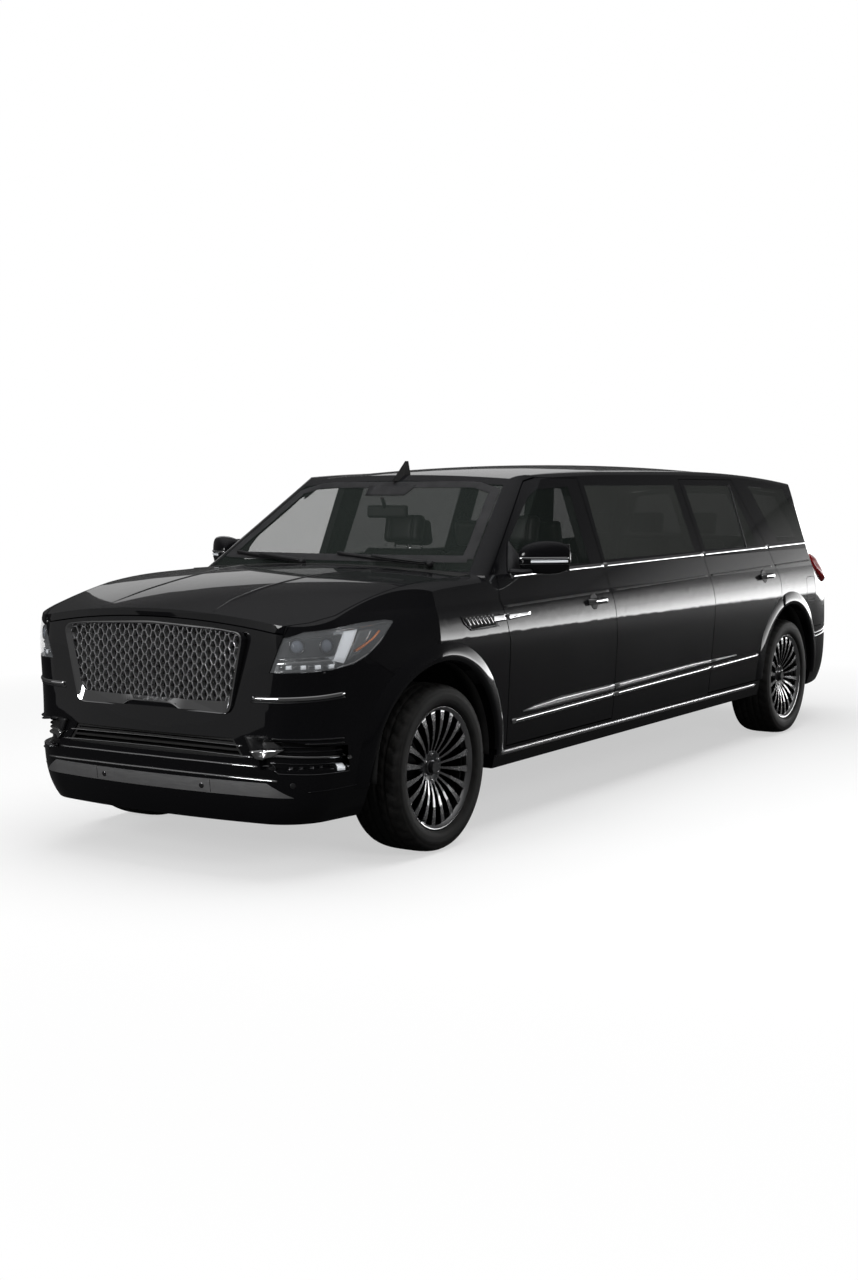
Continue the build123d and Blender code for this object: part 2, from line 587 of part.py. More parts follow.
def make_grille():
    """A bright frame round a mesh of tall cells, each row set half a cell on."""
    ring = grown(whole(GRILLE), -FIT)
    field = grown(ring, -GRILLE_FRAME)
    low = min(z for _, z in field)
    high = max(z for _, z in field)
    row = (high - low) / GRILLE_ROWS
    cells = []
    count = int(field[2][0] / CELL_PITCH) + 3
    for level in range(GRILLE_ROWS):
        for column in range(-count, count + 1):
            y = (column + 0.5 * (level % 2)) * CELL_PITCH
            z0 = low + level * row + CELL_BAR / 2
            z1 = z0 + row - CELL_BAR
            half = (CELL_PITCH - CELL_BAR) / 2
            corners = [(y - half, z0), (y + half, z0), (y + half, z1), (y - half, z1)]
            if all(inside(field, *corner) for corner in corners):
                cells.append(Wire.make_polygon([(GRILLE_BACK, a, b) for a, b in corners]))
    plate = Face(Wire.make_polygon([(GRILLE_BACK, y, z) for y, z in ring]), cells)
    mesh = Solid.extrude(plate, Vector(GRILLE_PLATE, 0, 0))
    frame = prism_x(ring, GRILLE_BACK, GRILLE_FRONT) - prism_x(field, GRILLE_BACK - 1, FAR)
    return mesh + frame


def make_intakes():
    """The lower centre grille with its slats."""
    middle = prism_x(grown(LOWER_INTAKE, -FIT), *INTAKE_GRILLE_X)
    field = prism_x(grown(LOWER_INTAKE, -INTAKE_RIM), *INTAKE_CUT_X)
    for z in INTAKE_SLOTS:
        middle = middle - (block(*INTAKE_CUT_X, -600, 600, z, z + INTAKE_SLOT_HEIGHT) & field)
    return middle - NOSE_HOLLOW


# ---- rear end -----------------------------------------------------------------------
REAR_BLOCK = block(-FAR, REAR_ZONE_X, -FAR, FAR, 0, FAR)
REAR_LOW = (OUTER_LOW - INNER_LOW) & REAR_BLOCK
REAR_SHELL = REAR_LOW + ((OUTER_BAND - INNER_BAND) & REAR_BLOCK) + (FULL_CABIN & REAR_BLOCK)
REAR_BUMPER_FOOT = 300.0
# The number plate's seat on the liftgate: half width, foot, top, height of its screw holes
PLATE_SEAT = (170, 800, 960)
PLATE_SEAT_X = TAIL + 10
PLATE_HOLE_Z = 925.0
PLATE_HOLE_DEPTH = 40.0


def make_liftgate():
    window = prism_x(whole(REAR_WINDOW_OUTLINE), -FAR, REAR_ZONE_X)
    gate = (REAR_SHELL & GATE_BODY) - window
    half, foot, top = PLATE_SEAT
    gate = gate + block(PLATE_SEAT_X, PLATE_SEAT_X + SKIN_THICKNESS, -half, half, foot, top)
    for y in (-PLATE_HOLE_SPACING / 2, PLATE_HOLE_SPACING / 2):
        gate = gate - rod((PLATE_SEAT_X, y, PLATE_HOLE_Z),
                          (PLATE_SEAT_X + PLATE_HOLE_DEPTH, y, PLATE_HOLE_Z),
                          PLATE_HOLE_RADIUS)
    pane = ((OUTER_CABIN - GLASS_INNER) & block(-FAR, GATE_FRONT, -FAR, FAR, 0, FAR)
            & prism_x(grown(whole(REAR_WINDOW_OUTLINE), -FIT), -FAR, REAR_ZONE_X))
    return largest(gate), largest(pane)


def make_rear_bumper():
    zone = block(-FAR, BUMPER_FRONT_EDGE, -FAR, FAR, REAR_BUMPER_FOOT,
                 BUMPER_TOP_REAR - LINE_GAP)
    return largest((REAR_LOW & zone) - ARCHES - mirror(ARCHES, about=Plane.XZ))


def make_tail_lamps():
    zone = prism_y(grown(TAIL_LAMP, -FIT), 0, SIDE_OUT)
    lamp = (REAR_SHELL & LEFT & zone) - GATE_HOLE
    return both(largest(lamp))


def make_side_glass():
    """The fixed panes: one in each mid panel, one in each quarter."""
    mid = GLASS_SKIN & prism_y(grown(MID_WINDOW, -FIT), SIDE_IN, SIDE_OUT)
    quarter = GLASS_SKIN & prism_y(grown(QUARTER_WINDOW, -FIT), SIDE_IN, SIDE_OUT)
    return Compound(children=[*both(mid).solids(), *both(largest(quarter)).solids()])


# ---- chassis ------------------------------------------------------------------------
KICK_UP = 205.0
REAR_FLOOR_TOP = 715.0
STEP_X = -1590.0
REAR_FLOOR_END = -3300.0
FLOOR_HALF = 872.0
ROCKER_INNER = 842.0
LINER_FOOT = FLANK_FOOT + 110
ROCKER_SHORT = 60.0
ENGINE = (2180, 2880, -300, 300, 405, 1040)
GEARBOX = (1450, 2180, -130, 130, 350, 470)
SHAFT_Z = 420.0
SHAFT_RADIUS = 45.0
DIFFERENTIAL = (REAR_AXLE - 190, REAR_AXLE + 200, -130, 130, 300, 515)
UPRIGHT_Y = 745.0
UPRIGHT_REACH = 155.0
ARM_Z = 170.0
ARM_PLATE = 22.0
SPINDLE_RADIUS = 30.0
MOUNT_RADIUS = 34.0
BODY_MOUNTS_FRONT = [1800, 900, 0, -900]
BODY_MOUNTS_REAR = [-1700, -2500, -3100]
CROSS_MEMBERS = (3000, 2750, 2250, 1250, 350, -500, -1300)
ENGINE_MEMBERS = (2750, 2250)
ENGINE_REST_HALF = 280.0
CROSS_HALF = 30.0
CROSS_HEIGHT = 45.0
TAIL_MEMBER = (-3060, -3000)
# The riser of each rail over the rear axle, front and rear, and what the rails lap it by
RISER = (-1720, -1620)
RISER_LAP = 20.0
RAIL_REACH = 3600.0
FRAME_ROOM = block(-2800, 2800, -600, 600, 200, 700)
FIREWALL_X = 1950.0
FIREWALL_HALF = 800.0
FIREWALL_TOP = 1255.0
WELL_INNER = 640.0
FRONT_WELL_INNER = 500.0
WELL_OUTER = 880.0
LINER = 5.0


def rail_block(x0, x1, z0, z1):
    """A length of the left rail."""
    return block(x0, x1, RAIL_CENTRE - RAIL_WIDTH / 2, RAIL_CENTRE + RAIL_WIDTH / 2, z0, z1)


def make_chassis():
    """Two rails, stepped up over the rear axle, with cross members and mounts."""
    top = RAIL_BOTTOM + RAIL_HEIGHT
    rail = rail_block(RISER[1] - RISER_LAP, RAIL_REACH, RAIL_BOTTOM, top)
    rail = rail + rail_block(*RISER, RAIL_BOTTOM, top + KICK_UP)
    rail = rail + rail_block(-RAIL_REACH, RISER[0] + RISER_LAP, RAIL_BOTTOM + KICK_UP,
                             top + KICK_UP)
    for x in BODY_MOUNTS_FRONT:
        rail = rail + rod((x, RAIL_CENTRE, top - 10), (x, RAIL_CENTRE, FLOOR_TOP - FLOOR_PLATE),
                          MOUNT_RADIUS)
    for x in BODY_MOUNTS_REAR:
        rail = rail + rod((x, RAIL_CENTRE, top + KICK_UP - 10),
                          (x, RAIL_CENTRE, REAR_FLOOR_TOP - FLOOR_PLATE), MOUNT_RADIUS)
    for axle, lift in ((FRONT_AXLE, 0), (REAR_AXLE, KICK_UP)):
        foot = TYRE_RADIUS - ARM_Z - ARM_PLATE
        for x in (axle - 100, axle + 100):
            rail = rail + block(x - 24, x + 24, RAIL_CENTRE - 15, RAIL_CENTRE + 40, foot,
                                RAIL_BOTTOM + lift + 20)
    head = TYRE_RADIUS + ARM_Z + ARM_PLATE
    rail = rail + block(FRONT_AXLE - 110, FRONT_AXLE + 110, RAIL_CENTRE - 15,
                        RAIL_CENTRE + 40, top - 20, head)
    frame = rail + mirror(rail, about=Plane.XZ)
    for x in CROSS_MEMBERS:
        frame = frame + block(x - CROSS_HALF, x + CROSS_HALF, -RAIL_CENTRE, RAIL_CENTRE,
                              RAIL_BOTTOM, RAIL_BOTTOM + CROSS_HEIGHT)
    for x in ENGINE_MEMBERS:
        frame = frame + block(x - CROSS_HALF, x + CROSS_HALF, -ENGINE_REST_HALF,
                              ENGINE_REST_HALF, RAIL_BOTTOM, ENGINE[4])
    frame = frame + block(DIFFERENTIAL[0] - 60, DIFFERENTIAL[0], -RAIL_CENTRE, RAIL_CENTRE,
                          RAIL_BOTTOM + 60, RAIL_BOTTOM + KICK_UP + 40)
    frame = frame + block(*TAIL_MEMBER, -RAIL_CENTRE, RAIL_CENTRE, RAIL_BOTTOM + KICK_UP,
                          RAIL_BOTTOM + KICK_UP + 60)
    rear = frame & block(TAIL, FRONT_AXLE, -FAR, FAR, 0, FAR) & (INNER_LOW + FRAME_ROOM)
    return rear + (frame & block(FRONT_AXLE, NOSE, -FAR, FAR, 0, FAR)
                   & (INNER_NOSE[0] + FRAME_ROOM))


def make_floor():
    """The floor plate with its firewall, rocker boxes, rear step and raised rear floor."""
    under = FLOOR_TOP - FLOOR_PLATE
    floor = block(STEP_X, FIREWALL_X, -FLOOR_HALF, FLOOR_HALF, under, FLOOR_TOP)
    floor = floor + block(FIREWALL_X - FLOOR_PLATE, FIREWALL_X, -FIREWALL_HALF, FIREWALL_HALF,
                          under, FIREWALL_TOP)
    floor = floor + block(STEP_X, STEP_X + FLOOR_PLATE, -WELL_INNER, WELL_INNER, under,
                          REAR_FLOOR_TOP)
    rear = block(REAR_FLOOR_END, STEP_X + FLOOR_PLATE, -FLOOR_HALF, FLOOR_HALF,
                 REAR_FLOOR_TOP - FLOOR_PLATE, REAR_FLOOR_TOP)
    floor = floor + (rear & (INNER_LOW + INNER_BAND))
    for side in (1, -1):
        floor = floor + block(SILL_REAR, SILL_FRONT - ROCKER_SHORT, side * ROCKER_INNER,
                              side * FLOOR_HALF, FLANK_FOOT, FLOOR_TOP)
    wells = (arch_cut(ARCH_RADIUS + LINER, FRONT_AXLE)
             + arch_cut(ARCH_RADIUS + LINER, REAR_AXLE))
    wells = wells + mirror(wells, about=Plane.XZ)
    inboard = block(-FAR, FAR, -WELL_INNER, WELL_INNER, 0, FAR)
    return floor - (wells - inboard)


def make_liners():
    """The round inner skins of the four wheel wells."""
    pieces = []
    for axle, inner in ((FRONT_AXLE, FRONT_WELL_INNER), (REAR_AXLE, WELL_INNER)):
        ring = extrude(Plane.XZ * (Circle(ARCH_RADIUS + LINER) - Circle(ARCH_RADIUS)), -FAR / 4)
        arc = Pos(axle, 0, ARCH_Z) * ring & block(-FAR, FAR, inner, WELL_OUTER, LINER_FOOT, FAR)
        if axle == FRONT_AXLE:
            arc = arc & (INNER_NOSE[0] + INNER_NOSE[1])
        else:
            arc = arc & INNER_LOW
        pieces.append(both(arc))
    return Compound(children=[piece for pair in pieces for piece in pair.solids()])


# ---- wheels and what carries them ---------------------------------------------------
HUB_RADIUS = 82.0
DISC_RADIUS = 188.0
DISC_Y = (-60.0, -30.0)
SPOKE_Y = (62.0, 104.0)
SPOKES = 20
BARREL_OUTER = 281.0
BARREL_INNER = 268.0
PIN_RADIUS = 11.0


def turned(points):
    """A solid of revolution about Y from its half section, (radius, y)."""
    face = Face(Wire.make_polygon([(radius, y, 0) for radius, y in points]))
    return revolve(face, Axis.Y, 360)


def make_tyre():
    """A tyre at the origin: rounded shoulders, tall sidewalls, bead at the rim."""
    half = TYRE_WIDTH / 2
    bead = BARREL_OUTER + FIT
    lip = RIM_DIAMETER / 2
    seat = RIM_WIDTH / 2 - 16
    points = [(bead, -seat), (lip + 1, -seat), (lip + 5, -half + 12), (lip + 40, -half),
              (lip + 68, -half + 4),
              (TYRE_RADIUS - 14, -half + 14), (TYRE_RADIUS - 3, -half + 34),
              (TYRE_RADIUS, -half + 70)]
    return turned(points + [(radius, -y) for radius, y in reversed(points)])


def make_rim():
    """A rim with its blades, hub and brake disc, facing +Y."""
    half = RIM_WIDTH / 2
    lip = RIM_DIAMETER / 2
    barrel = turned([(BARREL_INNER, -half), (lip, -half), (lip, -half + 12),
                     (BARREL_OUTER, -half + 14), (BARREL_OUTER, half - 14), (lip, half - 12),
                     (lip, half), (BARREL_INNER, half)])
    hub = turned([(SPINDLE_RADIUS + FIT, DISC_Y[0]), (DISC_RADIUS, DISC_Y[0]),
                  (DISC_RADIUS, DISC_Y[1]), (HUB_RADIUS, DISC_Y[1]), (HUB_RADIUS, SPOKE_Y[1] - 12),
                  (HUB_RADIUS - 14, SPOKE_Y[1]), (SPINDLE_RADIUS + FIT, SPOKE_Y[1])])
    rim = barrel + hub
    for turn in range(SPOKES):
        blade = Solid.make_loft([
            Wire.make_polygon([(-9, SPOKE_Y[0], HUB_RADIUS - 6), (9, SPOKE_Y[0], HUB_RADIUS - 6),
                               (7, SPOKE_Y[1] - 6, HUB_RADIUS - 6),
                               (-7, SPOKE_Y[1] - 6, HUB_RADIUS - 6)]),
            Wire.make_polygon([(-13, SPOKE_Y[0], BARREL_INNER + 4),
                               (13, SPOKE_Y[0], BARREL_INNER + 4),
                               (10, SPOKE_Y[1] + 12, BARREL_INNER + 4),
                               (-10, SPOKE_Y[1] + 12, BARREL_INNER + 4)])], ruled=True)
        rim = rim + blade.rotate(Axis.Y, 360 * turn / SPOKES)
    return rim


def make_upright(pin):
    """The carrier inside a left wheel, its centre at the origin; +Y is outboard.

    With a pin it turns on its arms; without, it is one piece with them.
    """
    y0 = UPRIGHT_Y - WHEEL_Y - 20
    y1 = UPRIGHT_Y - WHEEL_Y + 24
    post = block(-34, 34, y0, y1, -UPRIGHT_REACH, UPRIGHT_REACH)
    boss = turned([(0, y0), (70, y0), (70, DISC_Y[0] - RUNNING_GAP),
                   (0, DISC_Y[0] - RUNNING_GAP)])
    spindle = rod((0, y0, 0), (0, SPOKE_Y[1] - 2, 0), SPINDLE_RADIUS)
    caliper = block(110, 212, y0, DISC_Y[1] + 34, -66, 66)
    slot = block(0, DISC_RADIUS + RUNNING_GAP, DISC_Y[0] - RUNNING_GAP, DISC_Y[1] + RUNNING_GAP,
                 -80, 80)
    bracket = block(20, 130, y0, y0 + 26, -40, 40)
    upright = post + boss + spindle + bracket + (caliper - slot)
    if pin:
        pin_y = UPRIGHT_Y - WHEEL_Y
        upright = upright + rod((0, pin_y, -UPRIGHT_REACH - ARM_PLATE - 14),
                                (0, pin_y, UPRIGHT_REACH + ARM_PLATE + 14), PIN_RADIUS)
    return upright


def make_arm(axle, high, hole):
    """One left arm plate, from the frame bracket out to the upright."""
    z = TYRE_RADIUS + (ARM_Z if high else -ARM_Z - ARM_PLATE)
    inner = RAIL_CENTRE + RAIL_WIDTH / 2
    arm = prism_z([(axle - 128, inner), (axle + 128, inner), (axle + 26, UPRIGHT_Y + 22),
                   (axle - 26, UPRIGHT_Y + 22)], z, z + ARM_PLATE)
    if hole:
        arm = arm - rod((axle, UPRIGHT_Y, z - 5), (axle, UPRIGHT_Y, z + ARM_PLATE + 5),
                        PIN_RADIUS + FIT)
    return arm


def make_rear_suspension():
    """Each rear upright, one piece with its arms, and its half shaft."""
    upright = Pos(REAR_AXLE, WHEEL_Y, TYRE_RADIUS) * make_upright(False)
    for high in (True, False):
        z = TYRE_RADIUS + (ARM_Z if high else -ARM_Z)
        low, top = sorted((z, z - 20 if high else z + 20))
        upright = upright + make_arm(REAR_AXLE, high, False)
        upright = upright + block(REAR_AXLE - 24, REAR_AXLE + 24, UPRIGHT_Y - 18,
                                  UPRIGHT_Y + 18, low, top)
    upright = upright + rod((REAR_AXLE, 130, TYRE_RADIUS), (REAR_AXLE, UPRIGHT_Y, TYRE_RADIUS), 24)
    return both(upright)


def make_driveline():
    """Gearbox, propeller shaft and rear differential, in one line."""
    x0, x1, y0, y1, z0, z1 = GEARBOX
    line = block(*GEARBOX) + block(*DIFFERENTIAL)
    return line + rod((x0 + 10, 0, SHAFT_Z), (DIFFERENTIAL[1] - 10, 0, SHAFT_Z), SHAFT_RADIUS)


# ---- cabin --------------------------------------------------------------------------
REST_HALF = 135.0


def make_seat(profile, rest, centre, width, rests):
    """A seat from its side profile, with head rests; all in one solid."""
    seat = prism_y(profile, centre - width / 2, centre + width / 2)
    for y in rests:
        seat = seat + prism_y(rest, y - REST_HALF, y + REST_HALF)
    return seat


FRONT_SEAT = [(900, FLOOR_TOP), (1330, FLOOR_TOP), (1350, 800), (1300, 840), (930, 805),
              (745, 1420), (620, 1420), (790, 760)]
FRONT_REST = [(650, 1400), (720, 1400), (705, 1600), (610, 1600)]
MIDDLE_SEAT = [(-180, FLOOR_TOP), (360, FLOOR_TOP), (410, 740), (545, 1400), (430, 1400),
               (265, 830), (-150, 860), (-200, 820)]
MIDDLE_REST = [(440, 1380), (520, 1380), (560, 1560), (475, 1560)]
REAR_SEAT = [(-1240, FLOOR_TOP), (-1220, 820), (-1270, 860), (-1680, 830), (-1850, 1420),
             (-1975, 1420), (-1800, REAR_FLOOR_TOP), (STEP_X, REAR_FLOOR_TOP),
             (STEP_X + FLOOR_PLATE, REAR_FLOOR_TOP), (STEP_X + FLOOR_PLATE, FLOOR_TOP)]
REAR_REST = [(-1865, 1400), (-1945, 1400), (-1985, 1580), (-1895, 1580)]
STEERING_WHEEL = (1400, 390, 1130)
WHEEL_TILT = 28.0
WHEEL_RING = (180, 15)
DASH_HALF = 790.0
DASH = [(1920, 860), (1920, 1255), (1690, 1262), (1560, 1180), (1590, 900), (1760, 820)]


def make_steering_wheel():
    """The wheel on its column, tilted back, ahead of the left front seat."""
    ring = Torus(*WHEEL_RING)
    hub = Cylinder(48, 40)
    wheel = ring + hub
    for turn in (0, 90, 180):
        wheel = wheel + (Rot(0, 0, turn) * Pos(100, 0, 0) * Box(150, 34, 16))
    wheel = wheel + Pos(0, 0, 140) * Cylinder(26, 280)
    wheel = Pos(*STEERING_WHEEL) * Rot(0, 90 - WHEEL_TILT, 0) * Rot(0, 0, 90) * wheel
    return largest(wheel - make_dashboard())


def make_dashboard():
    """The dashboard, from side to side."""
    return prism_y(DASH, -DASH_HALF, DASH_HALF)


# The left mirror's outlines (x, z) at three distances out, and its foot on the door
MIRROR_SECTIONS = (
    (985, [(1600, 1352), (1628, 1400), (1600, 1440), (1520, 1444), (1505, 1400), (1520, 1350)]),
    (1090, [(1610, 1336), (1645, 1392), (1610, 1450), (1500, 1454), (1490, 1392), (1500, 1334)]),
    (1190, [(1560, 1350), (1580, 1385), (1560, 1428), (1510, 1430), (1500, 1388), (1510, 1348)]))
MIRROR_FOOT = (1540, 1610, 930, 1040, 1306, 1350)


def make_mirror():
    """The left door mirror: a rounded shell on a short foot."""
    shell = Solid.make_loft([Wire.make_polygon([(x, y, z) for x, z in outline])
                             for y, outline in MIRROR_SECTIONS], ruled=True)
    return (shell + block(*MIRROR_FOOT)) - SIDE_WALL


FIN_FOOT = 1790.0
FIN_TOP = 1905.0
FIN_BASE = [(1400, 0), (1330, 26), (1240, 26), (1240, -26), (1330, -26)]
FIN_TIP = [(1268, 0), (1255, 4), (1240, 4), (1240, -4), (1255, -4)]


def make_fin():
    """The antenna fin, standing on the front of the roof."""
    base = Wire.make_polygon([(x, y, FIN_FOOT) for x, y in FIN_BASE])
    tip = Wire.make_polygon([(x, y, FIN_TOP) for x, y in FIN_TIP])
    return largest(Solid.make_loft([base, tip], ruled=True) - OUTER_CABIN)


COWL_HALF = 868.0
COWL_LOW = 1150.0
# The left pad that the hood's hinge stands on: distance behind the seam, y and z spans
COWL_PAD = (90, 560, 640, 1301, 1327)


def make_cowl():
    """The black tray between the windscreen's foot and the hood."""
    outer = OUTER_NOSE[0] + OUTER_NOSE[1]
    zone = block(COWL_REAR, HOOD_REAR - RUNNING_GAP, -COWL_HALF, COWL_HALF, COWL_LOW, FAR)
    tray = largest((outer & zone) - HOOD_UNDER - OUTER_CABIN)
    pad = block(COWL_REAR + COWL_PAD[0], HOOD_REAR - FIT, *COWL_PAD[1:])
    for piece in both(pad).solids():
        tray = tray + piece
    return tray


def group(pieces):
    """One compound of all the solids of several pieces."""
    return Compound(children=[solid for piece in pieces for solid in piece.solids()])


if __name__ == "__main__":
    gate, gate_pane = make_liftgate()
    covers, housings = make_headlamps()
    left = {
        "door_front": FRONT_LEAF,
        "door_rear": REAR_LEAF,
        "glass_front": FRONT_PANE,
        "glass_rear": REAR_PANE,
        "mirror": make_mirror(),
        "knuckle": Pos(FRONT_AXLE, WHEEL_Y, TYRE_RADIUS) * make_upright(True),
    }
    rim = make_rim()
    tyre = make_tyre()
    for end, axle in (("front", FRONT_AXLE), ("rear", REAR_AXLE)):
        place = Pos(axle, WHEEL_Y, TYRE_RADIUS)
        left[f"rim_{end}"] = place * rim
        left[f"tyre_{end}"] = place * tyre
    for name, piece in left.items():
        write(f"{name}_left", piece)
        write(f"{name}_right", mirror(piece, about=Plane.XZ))
    arms = [make_arm(FRONT_AXLE, high, True) for high in (True, False)]
    single = {
        "roof": make_roof(),
        "front_pillars": make_front_pillars(),
        "windscreen": SCREEN_PANE,
        "mid_panels": make_mid_panels(),
        "quarters": both(make_quarters()),
        "sills": make_sills(),
        "hood": make_hood(),
        "cowl": make_cowl(),
        "fenders": make_fenders(),
        "bumper_front": make_bumper_front(),
        "skid_plate": largest(NOSE_SKIN & prism_x(grown(SKID, -FIT), NOSE_CUT_X, FAR)),
        "headlamp_covers": covers,
        "headlamps": housings,
        "grille": make_grille(),
        "intake_grille": make_intakes(),
        "liftgate": gate,
        "rear_glass": gate_pane,
        "bumper_rear": make_rear_bumper(),
        "tail_lamps": make_tail_lamps(),
        "side_glass": make_side_glass(),
        "chassis_frame": make_chassis(),
        "floor_pan": make_floor(),
        "wheel_liners": make_liners(),
        "front_arms": group([both(arm) for arm in arms]),
        "rear_suspension": make_rear_suspension(),
        "engine_block": block(*ENGINE),
        "driveline": make_driveline(),
        "seats_front": group([make_seat(FRONT_SEAT, FRONT_REST, y, 530, [y])
                                 for y in (400, -400)]),
        "seat_middle": make_seat(MIDDLE_SEAT, MIDDLE_REST, 0, 1380, [-430, 0, 430]),
        "seat_rear": make_seat(REAR_SEAT, REAR_REST, 0, 1240, [-400, 0, 400]),
        "dashboard": make_dashboard(),
        "steering_wheel": make_steering_wheel(),
        "antenna_fin": make_fin(),
    }
    for name, piece in single.items():
        write(name, piece)
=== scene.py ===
import json
from math import asin, cos, exp, hypot, pi, radians, sin

import bmesh
import bpy
from mathutils import Matrix, Vector
from mathutils.bvhtree import BVHTree


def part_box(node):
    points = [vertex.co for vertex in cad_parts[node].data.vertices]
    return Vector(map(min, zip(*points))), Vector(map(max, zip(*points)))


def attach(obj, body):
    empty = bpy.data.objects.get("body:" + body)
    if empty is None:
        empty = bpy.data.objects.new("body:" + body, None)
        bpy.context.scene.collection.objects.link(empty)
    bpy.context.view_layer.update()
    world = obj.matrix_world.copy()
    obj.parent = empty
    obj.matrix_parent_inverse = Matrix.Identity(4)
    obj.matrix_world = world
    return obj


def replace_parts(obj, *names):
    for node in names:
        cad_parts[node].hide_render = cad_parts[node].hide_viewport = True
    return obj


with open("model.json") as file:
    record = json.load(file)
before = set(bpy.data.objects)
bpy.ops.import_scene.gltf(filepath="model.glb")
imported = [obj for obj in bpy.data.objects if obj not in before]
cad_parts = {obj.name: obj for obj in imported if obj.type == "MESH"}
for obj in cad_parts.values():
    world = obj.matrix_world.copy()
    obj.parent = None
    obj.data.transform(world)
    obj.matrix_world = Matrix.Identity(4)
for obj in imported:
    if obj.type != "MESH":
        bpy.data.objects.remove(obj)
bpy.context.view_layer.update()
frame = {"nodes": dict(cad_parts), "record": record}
nodes = frame["nodes"]

FRONT_AXLE = 2.464
REAR_AXLE = -2.171
ARCH_Z = 0.420
WHEEL_Y = 0.858
WHEEL_Z = 0.4075
SIDES = (("left", 1), ("right", -1))
# How deep behind the skin the inner face of a plate lies
SUNK = 0.002


# ---- shader helpers -----------------------------------------------------------------
def feed(node, inputs):
    """Inputs set to a value or linked to a socket; _ stands for a space in a name."""
    for key, value in inputs.items():
        socket = node.inputs[key.replace("_", " ") if isinstance(key, str) else key]
        if isinstance(value, bpy.types.NodeSocket):
            node.id_data.links.new(value, socket)
        else:
            socket.default_value = value
    return node


def add(tree, kind, output, **inputs):
    """The output socket of a new shader node."""
    return feed(tree.nodes.new("ShaderNode" + kind), inputs).outputs[output]


def arithmetic(tree, operation, *values, clamp=False):
    """The result of a sum on sockets or numbers."""
    node = tree.nodes.new("ShaderNodeMath")
    node.operation = operation
    node.use_clamp = clamp
    return feed(node, dict(enumerate(values))).outputs["Value"]


def mix(tree, share, first, second):
    """Two shaders mixed, the second by share."""
    node = tree.nodes.new("ShaderNodeMixShader")
    return feed(node, {0: share, 1: first, 2: second}).outputs["Shader"]


def pattern(tree, vector, kind, scale, detail=3.0):
    """A value pattern: noise, cells, or else bands across the axis that kind names."""
    if kind == "noise":
        return add(tree, "TexNoise", "Fac", Vector=vector, Scale=scale, Detail=detail,
                   Roughness=0.5)
    if kind == "cells":
        return add(tree, "TexVoronoi", "Distance", Vector=vector, Scale=scale)
    node = tree.nodes.new("ShaderNodeTexWave")
    node.bands_direction = kind
    return feed(node, {"Vector": vector, "Scale": scale}).outputs["Fac"]


def ramp(tree, fac, stops):
    """A colour ramp from (position, colour) stops; a single number is a grey."""
    node = tree.nodes.new("ShaderNodeValToRGB")
    ends = node.color_ramp.elements
    while len(ends) < len(stops):
        ends.new(0.5)
    for element, (place, colour) in zip(ends, stops):
        element.position = place
        element.color = (*(colour if isinstance(colour, tuple) else [colour] * 3), 1)
    return feed(node, {"Fac": fac}).outputs["Color"]


def surface(name, base, rough, metal=0.0, tint=None, gloss=None, relief=None,
            stretch=(1, 1, 1), normal="Normal", **sockets):
    """A Principled material whose colour, roughness and normal follow patterns.

    tint is a pattern and its colour stops, gloss a pattern and its span of roughness, and
    relief a pattern, its strength and its distance. Further sockets are given by name."""
    mat = bpy.data.materials.new(name)
    mat.use_nodes = True
    tree = mat.node_tree
    vector = add(tree, "Mapping", "Vector", Scale=stretch,
                 Vector=add(tree, "TexCoord", "Object"))
    inputs = {"Base Color": (*base, 1), "Roughness": rough, "Metallic": metal, **sockets}
    if tint:
        inputs["Base Color"] = ramp(tree, pattern(tree, vector, *tint[0]), tint[1])
    if gloss:
        inputs["Roughness"] = add(tree, "MapRange", "Result", To_Min=gloss[1],
                                  To_Max=gloss[2], Value=pattern(tree, vector, *gloss[0]))
    if relief:
        inputs[normal] = add(tree, "Bump", "Normal", Strength=relief[1], Distance=relief[2],
                             Height=pattern(tree, vector, *relief[0]))
    feed(tree.nodes["Principled BSDF"], inputs)
    return mat


# ---- materials ----------------------------------------------------------------------
def chrome(name, base, low, high):
    """Bright metal whose roughness runs from low to high."""
    return surface(name, base, 0.06, 1.0, None, (("noise", 14), low, high),
                   (("noise", 60), 0.03, 0.0003))


def plastic(name, base, rough, grain, strength):
    """Moulded plastic with a fine grain."""
    light = tuple(min(1, value * 1.7 + 0.004) for value in base)
    return surface(name, base, rough, 0.0, (("noise", 9), [(0.3, base), (0.8, light)]),
                   (("noise", 30), rough - 0.08, rough + 0.1),
                   (("cells", grain), strength, 0.0006))


def glass(name, colour, rough, alpha):
    """Tinted glass as a thin coat over a see-through sheet."""
    deep = tuple(value * 1.25 for value in colour)
    return surface(name, colour, rough, 0.0, (("noise", 3), [(0.2, colour), (0.9, deep)]),
                   (("noise", 2), rough, rough + 0.02), Alpha=alpha, Specular_IOR_Level=0.3)


def machined():
    """Wheel metal: bright where a face looks outboard, dark in the pockets."""
    fine = ("noise", 180, 2)
    mat = surface("wheel_silver", (0.6, 0.6, 0.61), 0.24, 1.0, None, (fine, 0.18, 0.32),
                  (fine, 0.04, 0.0002))
    tree = mat.node_tree
    across = add(tree, "SeparateXYZ", "Y", Vector=add(tree, "TexCoord", "Normal"))
    face = ramp(tree, arithmetic(tree, "ABSOLUTE", across),
                [(0.62, (0.035, 0.035, 0.038)), (0.86, (0.62, 0.62, 0.63))])
    feed(tree.nodes["Principled BSDF"], {"Base Color": face})
    return mat


def leather(name, base):
    """Leather with small cells that are duller in their folds."""
    rough = 0.42
    light = tuple(value * 1.8 + 0.006 for value in base)
    cells = ("cells", 320.0)
    return surface(name, base, rough, 0.0, (("noise", 7, 4), [(0.3, base), (0.8, light)]),
                   (cells, rough - 0.1, rough + 0.12), (cells, 0.35, 0.0008))


